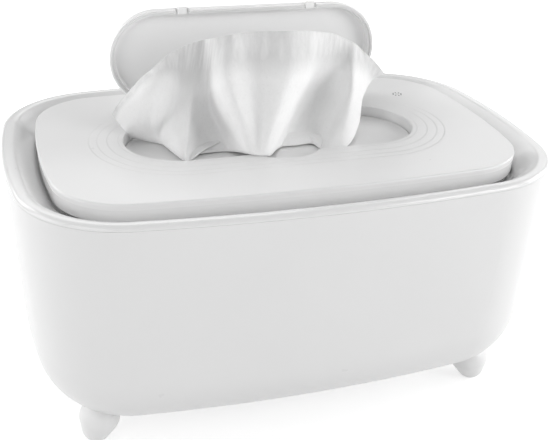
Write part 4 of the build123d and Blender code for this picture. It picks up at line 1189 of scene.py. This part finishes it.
@dataclass
class Studio:
    """A pale floor, even soft light and the camera."""

    eye_mm: Point = (-123.0, -376.5, 272.3)
    yaw: float = 0.3079
    pitch: float = 0.4578
    roll: float = 0.0315
    lens_mm: float = 60.315
    sensor_mm: float = 36.0
    nearest: float = 0.01
    shift: Pair = (0.02447, -0.01447)
    dome: float = 0.324
    floor_half: float = 4.0
    floor_squares: int = 8
    floor_tone: float = 0.62
    floor_glow: float = 0.58
    floor_lift: float = 0.24
    floor_fade: Pair = (0.35, 1.6)
    aim_height: float = 0.08

    def build(self) -> None:
        """Makes the camera, the floor, the world and the lamps."""
        self.camera()
        self.floor()
        self.world()
        for lamp in LAMPS:
            self.lamp(lamp)

    def camera(self) -> None:
        """Sets the camera at the viewing angle."""
        forward = Vector(
            (
                math.sin(self.yaw) * math.cos(self.pitch),
                math.cos(self.yaw) * math.cos(self.pitch),
                -math.sin(self.pitch),
            )
        )
        right = Vector((math.cos(self.yaw), -math.sin(self.yaw), 0.0))
        up = right.cross(forward)
        tilted_right = math.cos(self.roll) * right + math.sin(self.roll) * up
        tilted_up = math.cos(self.roll) * up - math.sin(self.roll) * right
        turn = Matrix((tilted_right, tilted_up, -forward)).transposed().to_4x4()
        data = bpy.data.cameras.new("view")
        data.lens = self.lens_mm
        data.sensor_width = self.sensor_mm
        data.sensor_fit = "HORIZONTAL"
        data.shift_x, data.shift_y = self.shift
        data.clip_start = self.nearest
        camera = bpy.data.objects.new("view", data)
        camera.matrix_world = Matrix.Translation(Vector(self.eye_mm) * MM) @ turn
        bpy.context.scene.collection.objects.link(camera)
        bpy.context.scene.camera = camera

    def floor(self) -> None:
        """Lays the pale floor that keeps the object's shadow."""
        shape = bmesh.new()
        squares = self.floor_squares
        bmesh.ops.create_grid(
            shape, x_segments=squares, y_segments=squares, size=self.floor_half
        )
        mesh = bpy.data.meshes.new("studio_floor")
        shape.to_mesh(mesh)
        shape.free()
        floor = bpy.data.objects.new("studio_floor", mesh)
        bpy.context.scene.collection.objects.link(floor)
        nodes = Nodes("studio_floor")
        diffuse = nodes.add("ShaderNodeBsdfDiffuse")
        diffuse.inputs["Color"].default_value = (self.floor_tone,) * 3 + (1.0,)
        glow = nodes.add("ShaderNodeEmission")
        path = nodes.add("ShaderNodeLightPath")
        seen = nodes.math("MAXIMUM", path.outputs["Is Camera Ray"], path.outputs["Is Glossy Ray"])
        seen = nodes.math("MAXIMUM", seen, path.outputs["Is Transmission Ray"])
        far = nodes.add("ShaderNodeVectorMath")
        far.operation = "LENGTH"
        nodes.link(nodes.add("ShaderNodeTexCoord").outputs["Object"], far.inputs[0])
        fade = nodes.add("ShaderNodeMapRange")
        nodes.link(far.outputs["Value"], fade.inputs["Value"])
        fade.inputs["From Min"].default_value, fade.inputs["From Max"].default_value = self.floor_fade
        fade.inputs["To Min"].default_value, fade.inputs["To Max"].default_value = self.floor_glow, 1.0
        lift = nodes.spread(seen, self.floor_lift, 1.0)
        nodes.link(nodes.math("MULTIPLY", lift, fade.outputs[0]), glow.inputs["Strength"])
        both = nodes.add("ShaderNodeAddShader")
        nodes.link(diffuse.outputs[0], both.inputs[0])
        nodes.link(glow.outputs[0], both.inputs[1])
        output = nodes.add("ShaderNodeOutputMaterial")
        nodes.link(both.outputs[0], output.inputs["Surface"])
        floor.data.materials.append(nodes.material)

    def world(self) -> None:
        """Sets the soft dome: plain white to look at, dimmer as a light."""
        world = bpy.data.worlds.new("studio")
        world.use_nodes = True
        tree = world.node_tree
        tree.nodes.clear()
        path = tree.nodes.new("ShaderNodeLightPath")
        seen = tree.nodes.new("ShaderNodeMath")
        seen.operation = "MAXIMUM"
        tree.links.new(path.outputs["Is Camera Ray"], seen.inputs[0])
        tree.links.new(path.outputs["Is Transmission Ray"], seen.inputs[1])
        level = tree.nodes.new("ShaderNodeMapRange")
        tree.links.new(seen.outputs[0], level.inputs["Value"])
        level.inputs["To Min"].default_value = self.dome
        level.inputs["To Max"].default_value = 1.0
        sky = tree.nodes.new("ShaderNodeBackground")
        sky.inputs["Color"].default_value = (1.0, 1.0, 1.0, 1.0)
        tree.links.new(level.outputs[0], sky.inputs["Strength"])
        output = tree.nodes.new("ShaderNodeOutputWorld")
        tree.links.new(sky.outputs[0], output.inputs["Surface"])
        bpy.context.scene.world = world
        bpy.context.scene.view_settings.view_transform = "Standard"

    def lamp(self, panel: Lamp) -> None:
        """Adds one soft panel aimed at the object.

        Args:
            panel: The lamp.
        """
        data = bpy.data.lights.new(panel.name, "AREA")
        data.shape = "SQUARE"
        data.size = panel.size
        data.energy = panel.power
        lamp = bpy.data.objects.new(panel.name, data)
        spot = Vector(panel.place)
        aim = (Vector((0.0, 0.0, self.aim_height)) - spot).to_track_quat("-Z", "Y")
        lamp.matrix_world = Matrix.Translation(spot) @ aim.to_matrix().to_4x4()
        bpy.context.scene.collection.objects.link(lamp)


# ------------------------------------------------------------------ the whole
# Heights where the tub's tall faces are cut, so that its shading stays even.
TUB_BANDS_MM = (44.5, 46.0, 60.0, 80.0, 100.0, 112.0, 114.6)
# The foot and the radius of the quarter circle at the outside of the rim's crown.
CROWN_ROUND_MM = (115.45, 2.15)

SMOOTH: Tuple[SmoothMoulding, ...] = (
    SmoothMoulding("outer_tub", Body.TUB, "shell", weighted=False, bands_mm=TUB_BANDS_MM),
    SmoothMoulding(
        "rim_frame", Body.TUB, "rim", sharp_degrees=40.0, weighted=False, round_mm=CROWN_ROUND_MM
    ),
    SmoothMoulding("inner_bin", Body.TUB, "bin"),
    *(SmoothMoulding(foot, Body.TUB, "feet") for foot in FEET),
    SmoothMoulding("top_cover", Body.TOP_UNIT, "cover"),
    SmoothMoulding("lower_housing", Body.TOP_UNIT, "cover"),
    SmoothMoulding("dispensing_tray", Body.TOP_UNIT, "cover"),
    SmoothMoulding("slot_gasket", Body.TOP_UNIT, "silicone"),
    SmoothMoulding("flip_lid", Body.LID, "lid"),
    SmoothMoulding("lid_seal", Body.LID, "silicone"),
)


def dress_nodes(palette: Palette) -> None:
    """Gives every node its finish in its own slots.

    Args:
        palette: The finishes.
    """
    for name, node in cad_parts.items():
        material = palette.get(NODE_FINISH[name])
        for place in node.material_slots:
            place.material = material


def main() -> None:
    """Builds the pieces in order and reports each."""
    logging.basicConfig(level=logging.INFO, format="%(message)s")
    palette = Palette()
    dress_nodes(palette)
    for moulding in SMOOTH:
        piece = moulding.build(palette)
        LOG.info("smooth moulding %s: %d faces", piece.name, len(piece.data.polygons))
    for cloth in (PulledWipe().build(palette), FoldedStack().build(palette)):
        LOG.info("cloth %s: %d faces", cloth.name, len(cloth.data.polygons))
    for mark in TouchIcon().build(palette):
        LOG.info("mark %s: %d faces", mark.name, len(mark.data.polygons))
    Studio().build()


if __name__ == "__main__":
    main()
